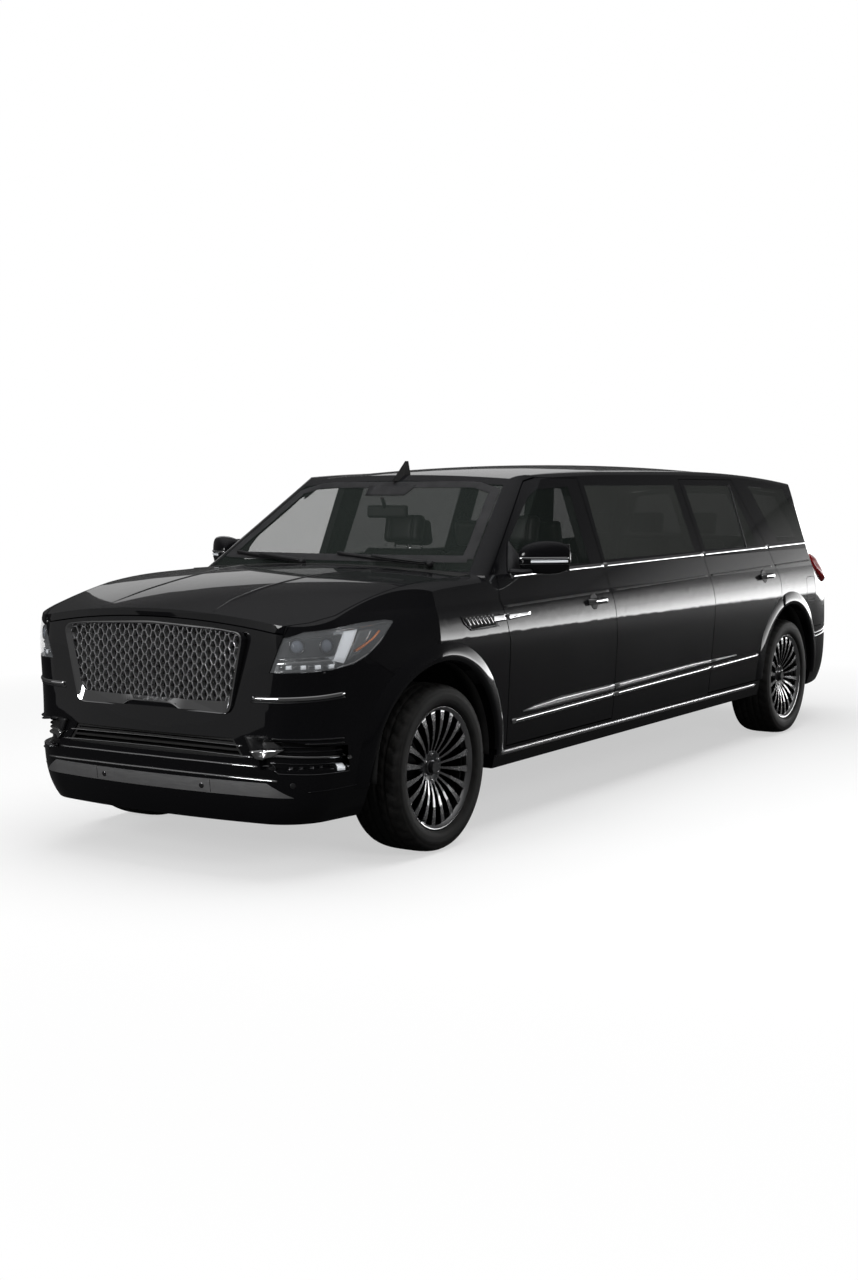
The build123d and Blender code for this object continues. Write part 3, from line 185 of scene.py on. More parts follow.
FINE, DUST, FIBRE = ("noise", 260, 2), ("noise", 26, 4), ("noise", 900, 2)
PAINT = surface("body_paint", (0.0035, 0.0035, 0.004), 0.32, 0.0,
                (("noise", 900, 1), [(0.3, (0.002, 0.002, 0.0025)),
                                     (0.75, (0.008, 0.008, 0.0095))]),
                (("noise", 2.2, 2), 0.26, 0.38), (("noise", 160, 1), 0.02, 0.0002),
                normal="Coat Normal", Coat_Weight=1.0, Coat_Roughness=0.02, Coat_IOR=1.4,
                Specular_IOR_Level=0.04)
MATERIALS = {
    "body_paint": PAINT,
    "mirror_paint": PAINT,
    "chrome_trim": chrome("bright_chrome", (0.82, 0.82, 0.83), 0.03, 0.1),
    "satin_plate": surface("satin_silver", (0.82, 0.82, 0.83), 0.34, 1.0, None,
                           (FINE, 0.26, 0.42), (FINE, 0.05, 0.0002), (1, 0.05, 1)),
    "black_plastic": plastic("black_plastic", (0.01, 0.01, 0.01), 0.5, 700, 0.25),
    "lamp_clear": glass("lamp_clear", (0.5, 0.52, 0.54), 0.0, 0.12),
    "lamp_housing": chrome("lamp_housing", (0.6, 0.61, 0.62), 0.12, 0.3),
    "lamp_red": surface("lamp_red", (0.32, 0.004, 0.006), 0.12, 0.0,
                        (("Z", 34.0), [(0.2, (0.16, 0.002, 0.003)),
                                       (0.8, (0.55, 0.012, 0.014))]),
                        None, (("Z", 34.0), 0.2, 0.001), Coat_Weight=1.0,
                        Coat_Roughness=0.01),
    "glass_clear": glass("glass_clear", (0.020, 0.026, 0.023), 0.0, 0.26),
    "glass_dark": glass("glass_dark", (0.042, 0.045, 0.042), 0.0, 0.72),
    "frame_black": plastic("frame_black", (0.011, 0.011, 0.012), 0.45, 300, 0.15),
    "floor_metal": surface("floor_metal", (0.014, 0.014, 0.015), 0.9, 0.0,
                           (FIBRE, [(0.3, (0.008, 0.008, 0.009)),
                                    (0.8, (0.03, 0.03, 0.031))]),
                           None, (FIBRE, 0.5, 0.002)),
    "cast_metal": surface("cast_metal", (0.16, 0.16, 0.165), 0.55, 0.8,
                          (("noise", 8), [(0.3, 0.09), (0.8, (0.2, 0.2, 0.205))]), None,
                          (("noise", 240, 4), 0.3, 0.001)),
    "seat_leather": leather("seat_leather", (0.016, 0.015, 0.0145)),
    "wheel_leather": leather("wheel_leather", (0.01, 0.01, 0.01)),
    "tyre_rubber": surface("tyre_rubber", (0.012, 0.012, 0.012), 0.62, 0.0,
                           (DUST, [(0.35, 0.008), (0.8, (0.022, 0.021, 0.020))]),
                           (DUST, 0.5, 0.74), (("noise", 420, 2), 0.25, 0.0005)),
    "wheel_silver": machined(),
}
GRILLE_SILVER = chrome("grille_silver", (0.9, 0.9, 0.91), 0.22, 0.36)
DARK_CHROME = chrome("dark_chrome", (0.22, 0.22, 0.23), 0.08, 0.2)
LAMP_LIGHT = surface("lamp_light", (0.85, 0.88, 0.92), 0.2,
                     relief=(("X", 60.0), 0.15, 0.0006),
                     Emission_Color=(0.85, 0.88, 0.92, 1), Emission_Strength=0.25)
MODULE_BLACK = plastic("module_black", (0.03, 0.032, 0.034), 0.3, 200, 0.05)
AMBER = plastic("amber_lens", (0.5, 0.12, 0.01), 0.2, 300, 0.1)
PROJECTOR = glass("projector_lens", (0.18, 0.2, 0.24), 0.02, 1.0)

for entry in frame["record"]["subparts"]:
    node = nodes[entry["node"]]
    node.data.materials.clear()
    node.data.materials.append(MATERIALS[entry["material_slot"]])


# ---- mesh helpers -------------------------------------------------------------------
def placed(name, data):
    """A new object of the scene."""
    obj = bpy.data.objects.new(name, data)
    bpy.context.scene.collection.objects.link(obj)
    return obj


def make_object(name, verts, faces, slot, body="body", smooth=True, look=None):
    """A mesh piece that rides on a body; look stands in for its slot's material."""
    mesh = bpy.data.meshes.new(name)
    mesh.from_pydata([tuple(v) for v in verts], [], faces)
    work = bmesh.new()
    work.from_mesh(mesh)
    bmesh.ops.remove_doubles(work, verts=work.verts, dist=1e-6)
    bmesh.ops.recalc_face_normals(work, faces=work.faces)
    work.to_mesh(mesh)
    work.free()
    obj = placed(name, mesh)
    mesh.materials.append(look or MATERIALS[slot])
    for polygon in mesh.polygons:
        polygon.use_smooth = smooth
    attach(obj, body)
    return obj


def bevel(obj, width):
    """Soft edges of a width."""
    step = obj.modifiers.new("soft_edges", "BEVEL")
    step.width = width
    step.segments = 2
    step.limit_method = "ANGLE"
    step.angle_limit = radians(35)


def subdivide(obj):
    """One level of rounding."""
    step = obj.modifiers.new("rounding", "SUBSURF")
    step.levels = step.render_levels = 1


def circle(count, wide, tall=None):
    """An even ring of (a, b) points, an oval where tall is given."""
    return [(wide * cos(2 * pi * i / count), (tall or wide) * sin(2 * pi * i / count))
            for i in range(count)]


def tube(rows, count, ends=False, ring=False):
    """Faces round rows of count points; ends caps them, ring joins the last to the first."""
    faces = []
    for k in range(rows if ring else rows - 1):
        a, b = k * count, (k + 1) % rows * count
        faces += [(a + i, a + (i + 1) % count, b + (i + 1) % count, b + i)
                  for i in range(count)]
    if ends:
        last = (rows - 1) * count
        faces += [tuple(range(count))[::-1], tuple(range(last, last + count))]
    return faces


def sweep(points, ups, section, closed_ends=True):
    """Vertices and faces of a section, (across, up) pairs, carried along points."""
    verts = []
    for i, (point, up) in enumerate(zip(points, ups)):
        along = (points[min(i + 1, len(points) - 1)] - points[max(i - 1, 0)]).normalized()
        out = (up - along * up.dot(along)).normalized()
        across = along.cross(out)
        verts += [point + across * a + out * b for a, b in section]
    return verts, tube(len(points), len(section), closed_ends)


def trees_of(*names):
    """One search tree over the meshes of some CAD nodes."""
    verts = []
    polygons = []
    for name in names:
        mesh = nodes[name].data
        start = len(verts)
        verts += [v.co.copy() for v in mesh.vertices]
        polygons += [[start + i for i in p.vertices] for p in mesh.polygons]
    return BVHTree.FromPolygons(verts, polygons)


def cast(tree, start, way):
    """The point that a ray meets and the normal facing it, or None."""
    spot, normal, _, _ = tree.ray_cast(Vector(start), Vector(way))
    if spot is None:
        return None
    return spot, -normal if normal.dot(Vector(way)) > 0 else normal


def side_hit(tree, x, z, side):
    """The skin at x and z seen from one side."""
    return cast(tree, (x, side * 2, z), (0, -side, 0))


def front_hit(tree, y, z, _side=1):
    """The skin at y and z seen from ahead."""
    return cast(tree, (5, y, z), (-1, 0, 0))


def rear_hit(tree, y, z, _side=1):
    """The skin at y and z seen from behind."""
    return cast(tree, (-5, y, z), (1, 0, 0))


def top_hit(tree, x, y, side):
    """The skin at x and y on one side seen from above."""
    return cast(tree, (x, side * y, 3), (0, 0, -1))


def corner_hit(tree, bearing, z, side):
    """The skin round a front corner at a bearing, 0 ahead and 90 outboard, and height."""
    way = Vector((cos(radians(bearing)), side * sin(radians(bearing)), 0))
    return cast(tree, Vector((2.75, side * 0.45, z)) + way * 3, -way)


def half_round(width, height):
    """A section like a low arch, its foot sunk slightly in the panel."""
    steps, foot = 6, -0.003
    arch = [(width / 2 * cos(pi * i / steps), height * sin(pi * i / steps))
            for i in range(1, steps)]
    return [(width / 2, foot), (width / 2, 0), *arch, (-width / 2, 0), (-width / 2, foot)]


def laid(tree, path, steps, side=1, hit=side_hit):
    """Points and normals of the skin at even places of a path of two coordinates."""
    spots = []
    ups = []
    total = len(path) - 1
    for i in range(steps + 1):
        place = total * i / steps
        k = min(int(place), total - 1)
        a, b = (start + (end - start) * (place - k)
                for start, end in zip(path[k], path[k + 1]))
        found = hit(tree, a, b, side)
        if found:
            spots.append(found[0])
            ups.append(found[1])
    return spots, ups


def skin_strip(name, tree, path, width, height, slot, body="body", side=1, steps=24,
               hit=side_hit, sink=0.0, closed=False, look=None):
    """A moulding laid along a path on the skin; sink puts it that deep behind it."""
    spots, ups = laid(tree, path + path[:1] if closed else path, steps, side, hit)
    spots = [p - n * sink for p, n in zip(spots, ups)]
    verts, faces = sweep(spots, ups, half_round(width, height), not closed)
    make_object(name, verts, faces, slot, body, look=look)


def plate(name, rows, columns, levels, place, slot, body="body", look=None):
    """Two grids of points, outer then inner, closed round their edges.

    place gives the point of a level at a share of the rows and of the columns."""
    verts = [place(level, i / rows, j / columns) for level in levels
             for i in range(rows + 1) for j in range(columns + 1)]
    wide = columns + 1
    shift = (rows + 1) * wide
    faces = []
    for i in range(rows):
        for j in range(columns):
            a = i * wide + j
            faces.append((a, a + 1, a + wide + 1, a + wide))
            faces.append((shift + a, shift + a + wide, shift + a + wide + 1, shift + a + 1))
    ring = [*range(columns), *[i * wide + columns for i in range(rows)],
            *[rows * wide + j for j in range(columns, 0, -1)],
            *[i * wide for i in range(rows, 0, -1)]]
    for a, b in zip(ring, ring[1:] + ring[:1]):
        faces.append((a, shift + a, shift + b, b))
    make_object(name, verts, faces, slot, body, look=look)


def skin_patch(name, tree, corners, thick, slot, body="body", side=1, rows=6, columns=14,
               hit=side_hit, sink=None, look=None):
    """A plate on the skin between four corners, or sunk that deep behind the skin."""
    a, b, c, d = [Vector((*p, 0)) for p in corners]
    middle = (a + b + c + d) / 4
    last = hit(tree, middle.x, middle.y, side)
    levels = (thick, -SUNK) if sink is None else (thick - sink, -sink)

    def place(level, down, across):
        nonlocal last
        spot = a.lerp(d, down).lerp(b.lerp(c, down), across)
        last = hit(tree, spot.x, spot.y, side) or last
        return last[0] + last[1] * level

    plate(name, rows, columns, levels, place, slot, body, look)


def loop_strip(name, tree, outline, width, height, slot, body="body", side=1, hit=side_hit,
               step=0.02):
    """A closed moulding along an outline of the skin."""
    dense = []
    for a, b in zip(outline, outline[1:] + outline[:1]):
        count = max(2, int(hypot(b[0] - a[0], b[1] - a[1]) / step))
        dense += [(a[0] + (b[0] - a[0]) * i / count, a[1] + (b[1] - a[1]) * i / count)
                  for i in range(count)]
    found = [f for f in (hit(tree, a, b, side) for a, b in dense) if f]
    found += found[:1]
    verts, faces = sweep([f[0] for f in found], [f[1] for f in found],
                         half_round(width, height), False)
    make_object(name, verts, faces, slot, body)


def rounded(outline, radius, steps=5):
    """An outline with its corners rounded."""
    result = []
    for before, here, after in zip(outline[-1:] + outline[:-1], outline,
                                   outline[1:] + outline[:1]):
        p = Vector(here)
        a = Vector(before) - p
        b = Vector(after) - p
        reach = min(radius, a.length * 0.45, b.length * 0.45)
        start = p + a.normalized() * reach
        end = p + b.normalized() * reach
        for i in range(steps + 1):
            t = i / steps
            result.append(tuple(start * (1 - t) ** 2 + p * 2 * t * (1 - t) + end * t * t))
    return result


def box(name, centre, size, slot, body="body", soft=0.004, turn=None, look=None):
    """A softened box at a centre; turn is a rotation matrix."""
    half = Vector(size) / 2
    verts = []
    for i in (-1, 1):
        for j in (-1, 1):
            for k in (-1, 1):
                corner = Vector((i * half.x, j * half.y, k * half.z))
                verts.append(Vector(centre) + (turn @ corner if turn else corner))
    faces = [(0, 1, 3, 2), (4, 6, 7, 5), (0, 4, 5, 1), (2, 3, 7, 6), (0, 2, 6, 4),
             (1, 5, 7, 3)]
    obj = make_object(name, verts, faces, slot, body, False, look)
    if soft:
        bevel(obj, min(soft, min(size) * 0.4))


def lathe(name, profile, centre, axis, slot, body="body", count=48, look=None):
    """A turned piece from (distance along the axis, radius) points."""
    along = Vector(axis).normalized()
    side = along.orthogonal().normalized()
    third = along.cross(side)
    verts = [Vector(centre) + along * step + (side * a + third * b) * radius
             for step, radius in profile for a, b in circle(count, 1)]
    make_object(name, verts, tube(len(profile), count, True), slot, body, look=look)


def turned_ring(name, profile, centre, side, slot, body, count=96, look=None):
    """A closed turned ring about Y from a loop of (outboard, radius) points."""
    verts = [centre + Vector((a, side * y, b))
             for y, radius in profile for a, b in circle(count, radius)]
    make_object(name, verts, tube(len(profile), count, ring=True), slot, body, look=look)


# ---- camera and studio --------------------------------------------------------------
# The photo's camera: place, heading, pitch and roll in degrees, and focal length in mm
CAMERA_PLACE = (9.0982, 5.1732, 1.7279)
CAMERA_ANGLES = (-147.353, -5.1151, -0.1972)
CAMERA_LENS = 46.40


def photo_camera():
    """The scene's camera, where the photo was taken from."""
    heading, pitch, roll = (radians(angle) for angle in CAMERA_ANGLES)
    look = Vector((cos(pitch) * cos(heading), cos(pitch) * sin(heading), sin(pitch)))
    flat_right = look.cross(Vector((0, 0, 1))).normalized()
    flat_up = flat_right.cross(look)
    right = flat_right * cos(roll) + flat_up * sin(roll)
    up = flat_up * cos(roll) - flat_right * sin(roll)
    data = bpy.data.cameras.new("photo_camera")
    data.lens = CAMERA_LENS
    data.sensor_width = 36
    data.clip_end = 200
    obj = placed("photo_camera", data)
    turn = Matrix((right, up, -look)).transposed().to_4x4()
    obj.matrix_world = Matrix.Translation(CAMERA_PLACE) @ turn
    bpy.context.scene.camera = obj


def area_light(name, place, target, size, power, tall):
    """A rectangular softbox aimed at a target."""
    data = bpy.data.lights.new(name, "AREA")
    data.energy = power
    data.size = size
    data.shape = "RECTANGLE"
    data.size_y = tall
    obj = placed(name, data)
    aim = Vector(target) - Vector(place)
    obj.rotation_euler = aim.to_track_quat("-Z", "Y").to_euler()
    obj.location = place
    return obj


def seen_share(tree):
    """1 for what the camera sees, also through glass, and a little for reflections."""
    path = tree.nodes.new("ShaderNodeLightPath")
    shares = [arithmetic(tree, "MULTIPLY", path.outputs[ray], weight)
              for ray, weight in (("Is Camera Ray", 1.0), ("Is Transmission Ray", 1.0),
                                  ("Is Glossy Ray", 0.015))]
    total = shares[0]
    for share in shares[1:]:
        total = arithmetic(tree, "ADD", total, share, clamp=True)
    return total


def bare_tree(owner):
    """The emptied node tree of a material or world."""
    owner.use_nodes = True
    owner.node_tree.nodes.clear()
    return owner.node_tree


def add_output(tree, kind, shader):
    """The tree's output, fed by a shader."""
    feed(tree.nodes.new("ShaderNodeOutput" + kind), {"Surface": shader})


def stage_plane(name, corners, mat):
    """A four-cornered sheet that belongs to the studio."""
    mesh = bpy.data.meshes.new(name)
    mesh.from_pydata(corners, [], [(0, 1, 2, 3)])
    mesh.materials.append(mat)
    plane = placed(name, mesh)
    return plane


def white_floor():
    """A grey studio floor that the camera sees as white, with the car's shadow kept."""
    mat = bpy.data.materials.new("studio_floor")
    tree = bare_tree(mat)
    dark = add(tree, "BsdfDiffuse", "BSDF", Color=(0.03, 0.03, 0.03, 1))
    pale = add(tree, "BsdfDiffuse", "BSDF", Color=(0.9, 0.9, 0.9, 1))
    white = add(tree, "Emission", "Emission", Color=(1, 1, 1, 1), Strength=1.0)
    length = tree.nodes.new("ShaderNodeVectorMath")
    length.operation = "LENGTH"
    feed(length, {0: add(tree, "TexCoord", "Object")})
    fade = add(tree, "MapRange", "Result", Value=length.outputs["Value"], From_Min=3.0,
               From_Max=7.0, To_Min=0.55, To_Max=1.0)
    seen = mix(tree, seen_share(tree), dark, mix(tree, fade, pale, white))
    add_output(tree, "Material", seen)
    return mat


def side_wall():
    """A tall glowing wall behind the car and to its left, brightest near its foot."""
    low, high = 0.45, 3.6
    behind, right, left = -11, -3, 14
    mat = bpy.data.materials.new("side_wall")
    tree = bare_tree(mat)
    height = add(tree, "MapRange", "Result", From_Min=low, From_Max=high,
                 Value=add(tree, "SeparateXYZ", "Z", Vector=add(tree, "TexCoord", "Object")))
    shade = ramp(tree, height, [(0.0, 0), (0.045, 1), (0.32, 0.42), (0.68, 0.10), (1.0, 0)])
    add_output(tree, "Material",
               add(tree, "Emission", "Emission", Color=(1, 1, 1, 1),
                   Strength=arithmetic(tree, "MULTIPLY", shade, 7.0)))
    wall = stage_plane("side_wall", [(behind, right, low), (behind, left, low),
                                     (behind, left, high), (behind, right, high)], mat)
    wall.visible_camera = False
    wall.visible_shadow = False
    wall.visible_transmission = False


# Each light: name, place, what it is aimed at, its length, power and width,
# and the kind of ray that does not meet it
LIGHTS = (
    ("roof_box", (0.5, 0, 7.0), (0, 0, 0.8), 9.0, 620, 6.0, "glossy"),
    ("left_box", (5.0, 7.5, 4.0), (0.8, 0, 0.8), 4.0, 160, 2.0, "glossy"),
    ("front_box", (10.5, -1.5, 3.6), (2.6, 0, 0.8), 3.5, 260, 2.0, None),
    ("front_wall", (10.0, -6.0, 1.2), (3.0, -1.0, 1.2), 9.0, 34, 3.6, None),
    ("back_glow", (-8.2, -6.8, 4.4), (2.4, 0, 1.3), 9.0, 34, 2.4, "camera"),
)


def studio():
    """A floor, a dim surround that the camera sees as white, and softboxes."""
    reach = 40
    stage_plane("studio_floor", [(-reach, -reach, 0), (reach, -reach, 0), (reach, reach, 0),
                                 (-reach, reach, 0)], white_floor())
    world = bpy.data.worlds.new("studio")
    bpy.context.scene.world = world
    tree = bare_tree(world)
    up = add(tree, "SeparateXYZ", "Z", Vector=add(tree, "TexCoord", "Generated"))
    sky = ramp(tree, up, [(0.0, 0.03), (0.45, 0.05), (1.0, 0.30)])
    soft = add(tree, "Background", "Background", Color=sky, Strength=1.0)
    white = add(tree, "Background", "Background", Color=(1, 1, 1, 1), Strength=1.0)
    add_output(tree, "World", mix(tree, seen_share(tree), soft, white))
    for *setting, unseen in LIGHTS:
        light = area_light(*setting)
        if unseen:
            setattr(light, f"visible_{unseen}", False)
    side_wall()


# ---- side trims ---------------------------------------------------------------------
# Each group: label, CAD node, whether it is a door, front and rear ends of its belt line,
# and of its lower trim
SIDE_GROUPS = (
    ("front", "door_front", True, (1.870, 0.676), (1.797, 0.630)),
    ("mid", "mid_panels", False, (0.662, -0.750), (0.611, -0.766)),
    ("rear", "door_rear", True, (-0.764, -1.878), (-0.784, -1.574)),
    ("quarter", "quarters", False, (-1.894, -2.746), None),
)
# Lines along the flank, from their front end to their rear end as (x, z)
BELT_LINE = ((1.736, 1.300), (-2.746, 1.352))
# The shoulder line carries a dull black strip: painted shade under the shoulder crease
SHOULDER_SHADE_LINE = ((2.290, 1.144), (-2.746, 1.222))
LOW_LINE = ((1.797, 0.5545), (-1.574, 0.6085))
SILL_LINE = [(1.930, 0.402), (-1.560, 0.402)]
# Each door handle's middle: door, x and z
HANDLES = (("front", 0.863, 1.121), ("rear", -1.716, 1.146))


def line_z(x, start, end):
    """Height on the straight line between two (x, z) ends."""
    share = (start[0] - x) / (start[0] - end[0])
    return start[1] + (end[1] - start[1]) * share


def side_trims(side_name, side):
    """The lines that run on from panel to panel, the sill's strip and the handles; the
    shoulder's line is a dull black strip of painted shade under its crease.
    """
    def line(name, ends, course, width, height, slot, body):
        path = [(x, line_z(x, *course)) for x in ends]
        skin_strip(f"{name}_{side_name}", tree, path, width, height, slot, body, side, 30)

    for label, node, moving, ends, low_ends in SIDE_GROUPS:
        name = f"{node}_{side_name}" if moving else node
        body = name if moving else "body"
        tree = trees_of(name)
        line(f"belt_trim_{label}", (min(ends[0], BELT_LINE[0][0]), ends[1]), BELT_LINE, 0.028,
             0.006, "chrome_trim", body)
        # A dull black strip along the shoulder crease: painted shade where the panel tucks
        # under
        line(f"shoulder_{label}", ends, SHOULDER_SHADE_LINE, 0.013, 0.001, "black_plastic", body)
        if low_ends:
            line(f"low_trim_{label}", low_ends, LOW_LINE, 0.027, 0.009, "chrome_trim", body)
            leaf_strip(f"leaf_{label}_{side_name}", tree, min(low_ends[0], LEAF[0][0]),
                       max(low_ends[1], LEAF[-1][0]), body, side)
    fender_vent(side_name, side)
    skin_strip(f"sill_strip_{side_name}", trees_of("sills"), SILL_LINE, 0.026, 0.006,
               "satin_plate", side=side, steps=40)
    for part, x, z in HANDLES:
        handle(part, side_name, side, x, z)


# The satin leaf over the lower trim: x, foot and top
LEAF = ((1.688, 0.594, 0.597), (1.560, 0.589, 0.613), (1.279, 0.589, 0.629),
        (0.595, 0.602, 0.633), (-0.505, 0.627, 0.651), (-1.188, 0.643, 0.646))


def leaf_strip(name, tree, ahead, behind, body, side):
    """The share of the leaf that lies on one panel."""
    def place(lift, up, along):
        x = ahead + (behind - ahead) * along
        k = next((n for n in range(len(LEAF) - 1) if LEAF[n + 1][0] <= x), len(LEAF) - 2)
        foot = line_z(x, LEAF[k][:2], LEAF[k + 1][:2])
        top = line_z(x, LEAF[k][::2], LEAF[k + 1][::2])
        spot, normal = side_hit(tree, x, foot + (top - foot) * up, side)
        return spot + normal * lift

    columns = max(6, int((ahead - behind) / 0.06))
    plate(name, 3, columns, (0.006, -SUNK), place, "satin_plate", body)


FUEL_DOOR = [(-2.507, 1.104), (-2.680, 1.104), (-2.680, 0.928), (-2.507, 0.928)]
# The tail lamp's side lens: its top and height, its front edge, how far that leans back,
# its rear edge, its thickness, how far it swells, and the share of its run that swells
LENS_TOP, LENS_TALL = 1.262, 0.216
LENS_FRONT, LENS_LEAN, LENS_REAR = -2.735, 0.190, -3.045
LENS_THICK, LENS_SWELL, LENS_SWELL_SHARE = 0.004, 0.040, 0.87


def rear_side(side_name, side):
    """The fuel door, the lamp's side lens, the bumper's lines and the window divider."""
    quarter = trees_of("quarters", "tail_lamps", "liftgate")
    bumper = trees_of("bumper_rear")
    if side > 0:
        loop_strip("fuel_door_seam", trees_of("quarters"), rounded(FUEL_DOOR, 0.035), 0.004,
                   0.0008, "black_plastic")

    def lens(share, down, run):
        z = LENS_TOP - LENS_TALL * down
        front = LENS_FRONT - LENS_LEAN * down ** 1.6
        x = front + (LENS_REAR - front) * run
        tries = (side_hit(quarter, x + dx, z + dz, side)
                 for dx, dz in ((0, 0), (0, -0.006), (0, 0.006), (-0.012, -0.006)))
        found = next((hit for hit in tries if hit), None)
        bulge = LENS_THICK
        if run < LENS_SWELL_SHARE:
            arch = sin(pi * min(1, run * 1.15)) ** 0.8 * (1 - (2 * down - 1) ** 4)
            bulge += LENS_SWELL * arch
        skin = found[0].y * side if found else 0.9
        return Vector((x, side * (skin + bulge * share - SUNK), z))

    plate(f"lamp_side_{side_name}", 12, 14, (1.0, 0.0), lens, "lamp_red")
    for i, drop in enumerate((0, 0.026)):
        skin_strip(f"bumper_line_{i}_{side_name}", bumper,
                   [(-2.680, 0.682 - drop), (-2.950, 0.697 - drop), (-3.100, 0.700 - drop)],
                   0.010, 0.006, "chrome_trim", side=side)
    door = f"door_rear_{side_name}"
    skin_strip(f"window_divider_{side_name}", trees_of(f"glass_rear_{side_name}", door),
               [(-1.545, 1.772), (-1.505, 1.348)], 0.026, 0.006, "frame_black", door, side, 14)


def fender_vent(side_name, side):
    """The dark outlet with slanted bright fins, and the spear that runs on into the door."""
    fender = trees_of("fenders")
    door = f"door_front_{side_name}"
    skin_patch(f"vent_recess_{side_name}", fender,
               [(2.220, 1.060), (1.960, 1.066), (2.010, 1.122), (2.296, 1.124)], 0.002,
               "black_plastic", side=side, rows=4)
    for i in range(7):
        x = 2.262 - 0.036 * i
        skin_strip(f"vent_fin_{i}_{side_name}", fender, [(x, 1.116), (x - 0.034, 1.074)],
                   0.017, 0.010, "chrome_trim", side=side, steps=6)
    skin_strip(f"vent_lip_{side_name}", fender,
               [(2.300, 1.126), (2.280, 1.090), (2.222, 1.056), (2.100, 1.056),
                (1.950, 1.060)], 0.008, 0.006, "chrome_trim", side=side, steps=30,
               look=DARK_CHROME)
    skin_patch(f"fender_spear_{side_name}", fender,
               [(2.012, 1.076), (1.884, 1.080), (1.884, 1.116), (2.012, 1.118)], 0.006,
               "chrome_trim", "body", side, 4, 8)
    skin_patch(f"door_spear_{side_name}", trees_of(door),
               [(1.864, 1.080), (1.628, 1.092), (1.622, 1.112), (1.864, 1.116)], 0.006,
               "chrome_trim", door, side, 4, 10)


def handle(part, side_name, side, x, z):
    """A bright sleeve over the door's grip, and the round dark cup behind it."""
    body = f"door_{part}_{side_name}"
    tree = trees_of(body)
    half = ((0.102, 0.999), (0.094, 1.020), (0.080, 1.0345), (0.058, 1.0375), (0, 1.0385))
    spots = [Vector((x + dx, side * y, z))
             for dx, y in half + tuple((-dx, y) for dx, y in half[-2::-1])]
    verts, faces = sweep(spots, [Vector((0, side, 0))] * len(spots),
                         circle(18, 0.0155, 0.0045))
    make_object(f"handle_bright_{part}_{side_name}", verts, faces, "chrome_trim", body)
    cup_x = x + 0.020
    loop_strip(f"handle_cup_rim_{part}_{side_name}", tree,
               [(cup_x + a, z + b) for a, b in circle(32, 0.046, 0.044)], 0.004, 0.0015,
               "frame_black", body, side)
    above = side_hit(tree, cup_x, z + 0.050, side)
    below = side_hit(tree, cup_x, z - 0.050, side)
    flat = (above[1] + below[1]).normalized()
    centre = (above[0] + below[0]) / 2 + flat * 0.0025
    lathe(f"handle_cup_{part}_{side_name}",
          [(-0.010, 0.044), (0.0012, 0.044), (0.0015, 0.042), (0.0005, 0.030),
           (0.0002, 0.010)], centre, flat, "frame_black", body, 32)


# Each part of a wheel opening's lip: axle, part, CAD nodes it lies on, whether it rides
# on the rear door, and its span in degrees from straight ahead
ARCH_PARTS = (
    ("front", "wing", ("fenders", "bumper_front", "sills"), False, -3, 183),
    ("rear", "door", (), True, -3, 90),
    ("rear", "quarter", ("quarters", "bumper_rear", "sills"), False, 60, 183),
)
# The lip's section: radius and height over the skin
ARCH_SECTION = ((0.507, 0.010), (0.514, 0.015), (0.532, 0.016), (0.556, 0.012),
                (0.585, 0.004), (0.602, -0.002))
AXLES = {"front": FRONT_AXLE, "rear": REAR_AXLE}
# The wells: how far outboard each inner wall stands, its thickness, radius and foot, and
# the radii and edges of the band round it
WELL_WALLS = {"front": 0.500, "rear": 0.640}
WALL_THICK, WALL_RADIUS, WALL_FOOT = 0.006, 0.508, 0.600
BAND_RADII, BAND_INNER, BAND_WIDE = (0.5015, 0.5035), 0.870, 0.090


def arch_point(label, radius, angle):
    """x and z at a radius and an angle about a wheel opening's middle."""
    return AXLES[label] + radius * cos(angle), ARCH_Z + radius * sin(angle)


def arch_lip(side_name, side, label, part, names, on_door, low, high):
    """A rounded lip that flares out round the share of a wheel opening that one part has."""
    door = f"door_rear_{side_name}"
    tree = trees_of(*names, *([door] if on_door else []))
    spans = []
    for radius, _ in ARCH_SECTION:
        met = [a / 4 for a in range(low * 4, high * 4 + 1)
               if side_hit(tree, *arch_point(label, radius, radians(a / 4)), side)]
        spans.append((radians(met[0]), radians(met[-1])))
    steps = max(2, round((spans[0][1] - spans[0][0]) / radians(3.3)))
    verts = []
    rows = 0
    for i in range(steps + 1):
        row = []
        for (radius, lift), (first, last) in zip(ARCH_SECTION, spans):
            x, z = arch_point(label, radius, first + (last - first) * i / steps)
            found = side_hit(tree, x, z, side)
            if found:
                row.append(Vector((x, found[0].y + side * lift, z)))
        if len(row) == len(ARCH_SECTION):
            verts += [Vector((row[0].x, side * 0.93, row[0].z)), *row]
            rows += 1
    wide = len(ARCH_SECTION) + 1
    faces = [(r * wide + c, r * wide + c + 1, (r + 1) * wide + c + 1, (r + 1) * wide + c)
             for r in range(rows - 1) for c in range(wide - 1)]
    make_object(f"arch_lip_{label}_{part}_{side_name}", verts, faces, "body_paint",
                door if on_door else "body")


def well_lining(side_name, side, label):
    """A wheel well's inner wall, and the band that joins its skin to the side panel."""
    start = asin((WALL_FOOT - ARCH_Z) / WALL_RADIUS)
    count = 40
    wide = count + 1
    verts = []
    for y in (WELL_WALLS[label], WELL_WALLS[label] + WALL_THICK):
        for i in range(wide):
            x, z = arch_point(label, WALL_RADIUS, start + (pi - 2 * start) * i / count)
            verts.append(Vector((x, side * y, z)))
    faces = [tuple(range(wide)), tuple(wide + i for i in range(wide)), *tube(2, wide)]
    make_object(f"well_wall_{label}_{side_name}", verts, faces, "black_plastic",
                smooth=False)

    def band(radius, turn, out):
        x, z = arch_point(label, radius, radians(-2 + 184 * turn))
        return Vector((x, side * (BAND_INNER + BAND_WIDE * out), z))

    plate(f"well_band_{label}_{side_name}", 60, 1, BAND_RADII, band, "black_plastic")


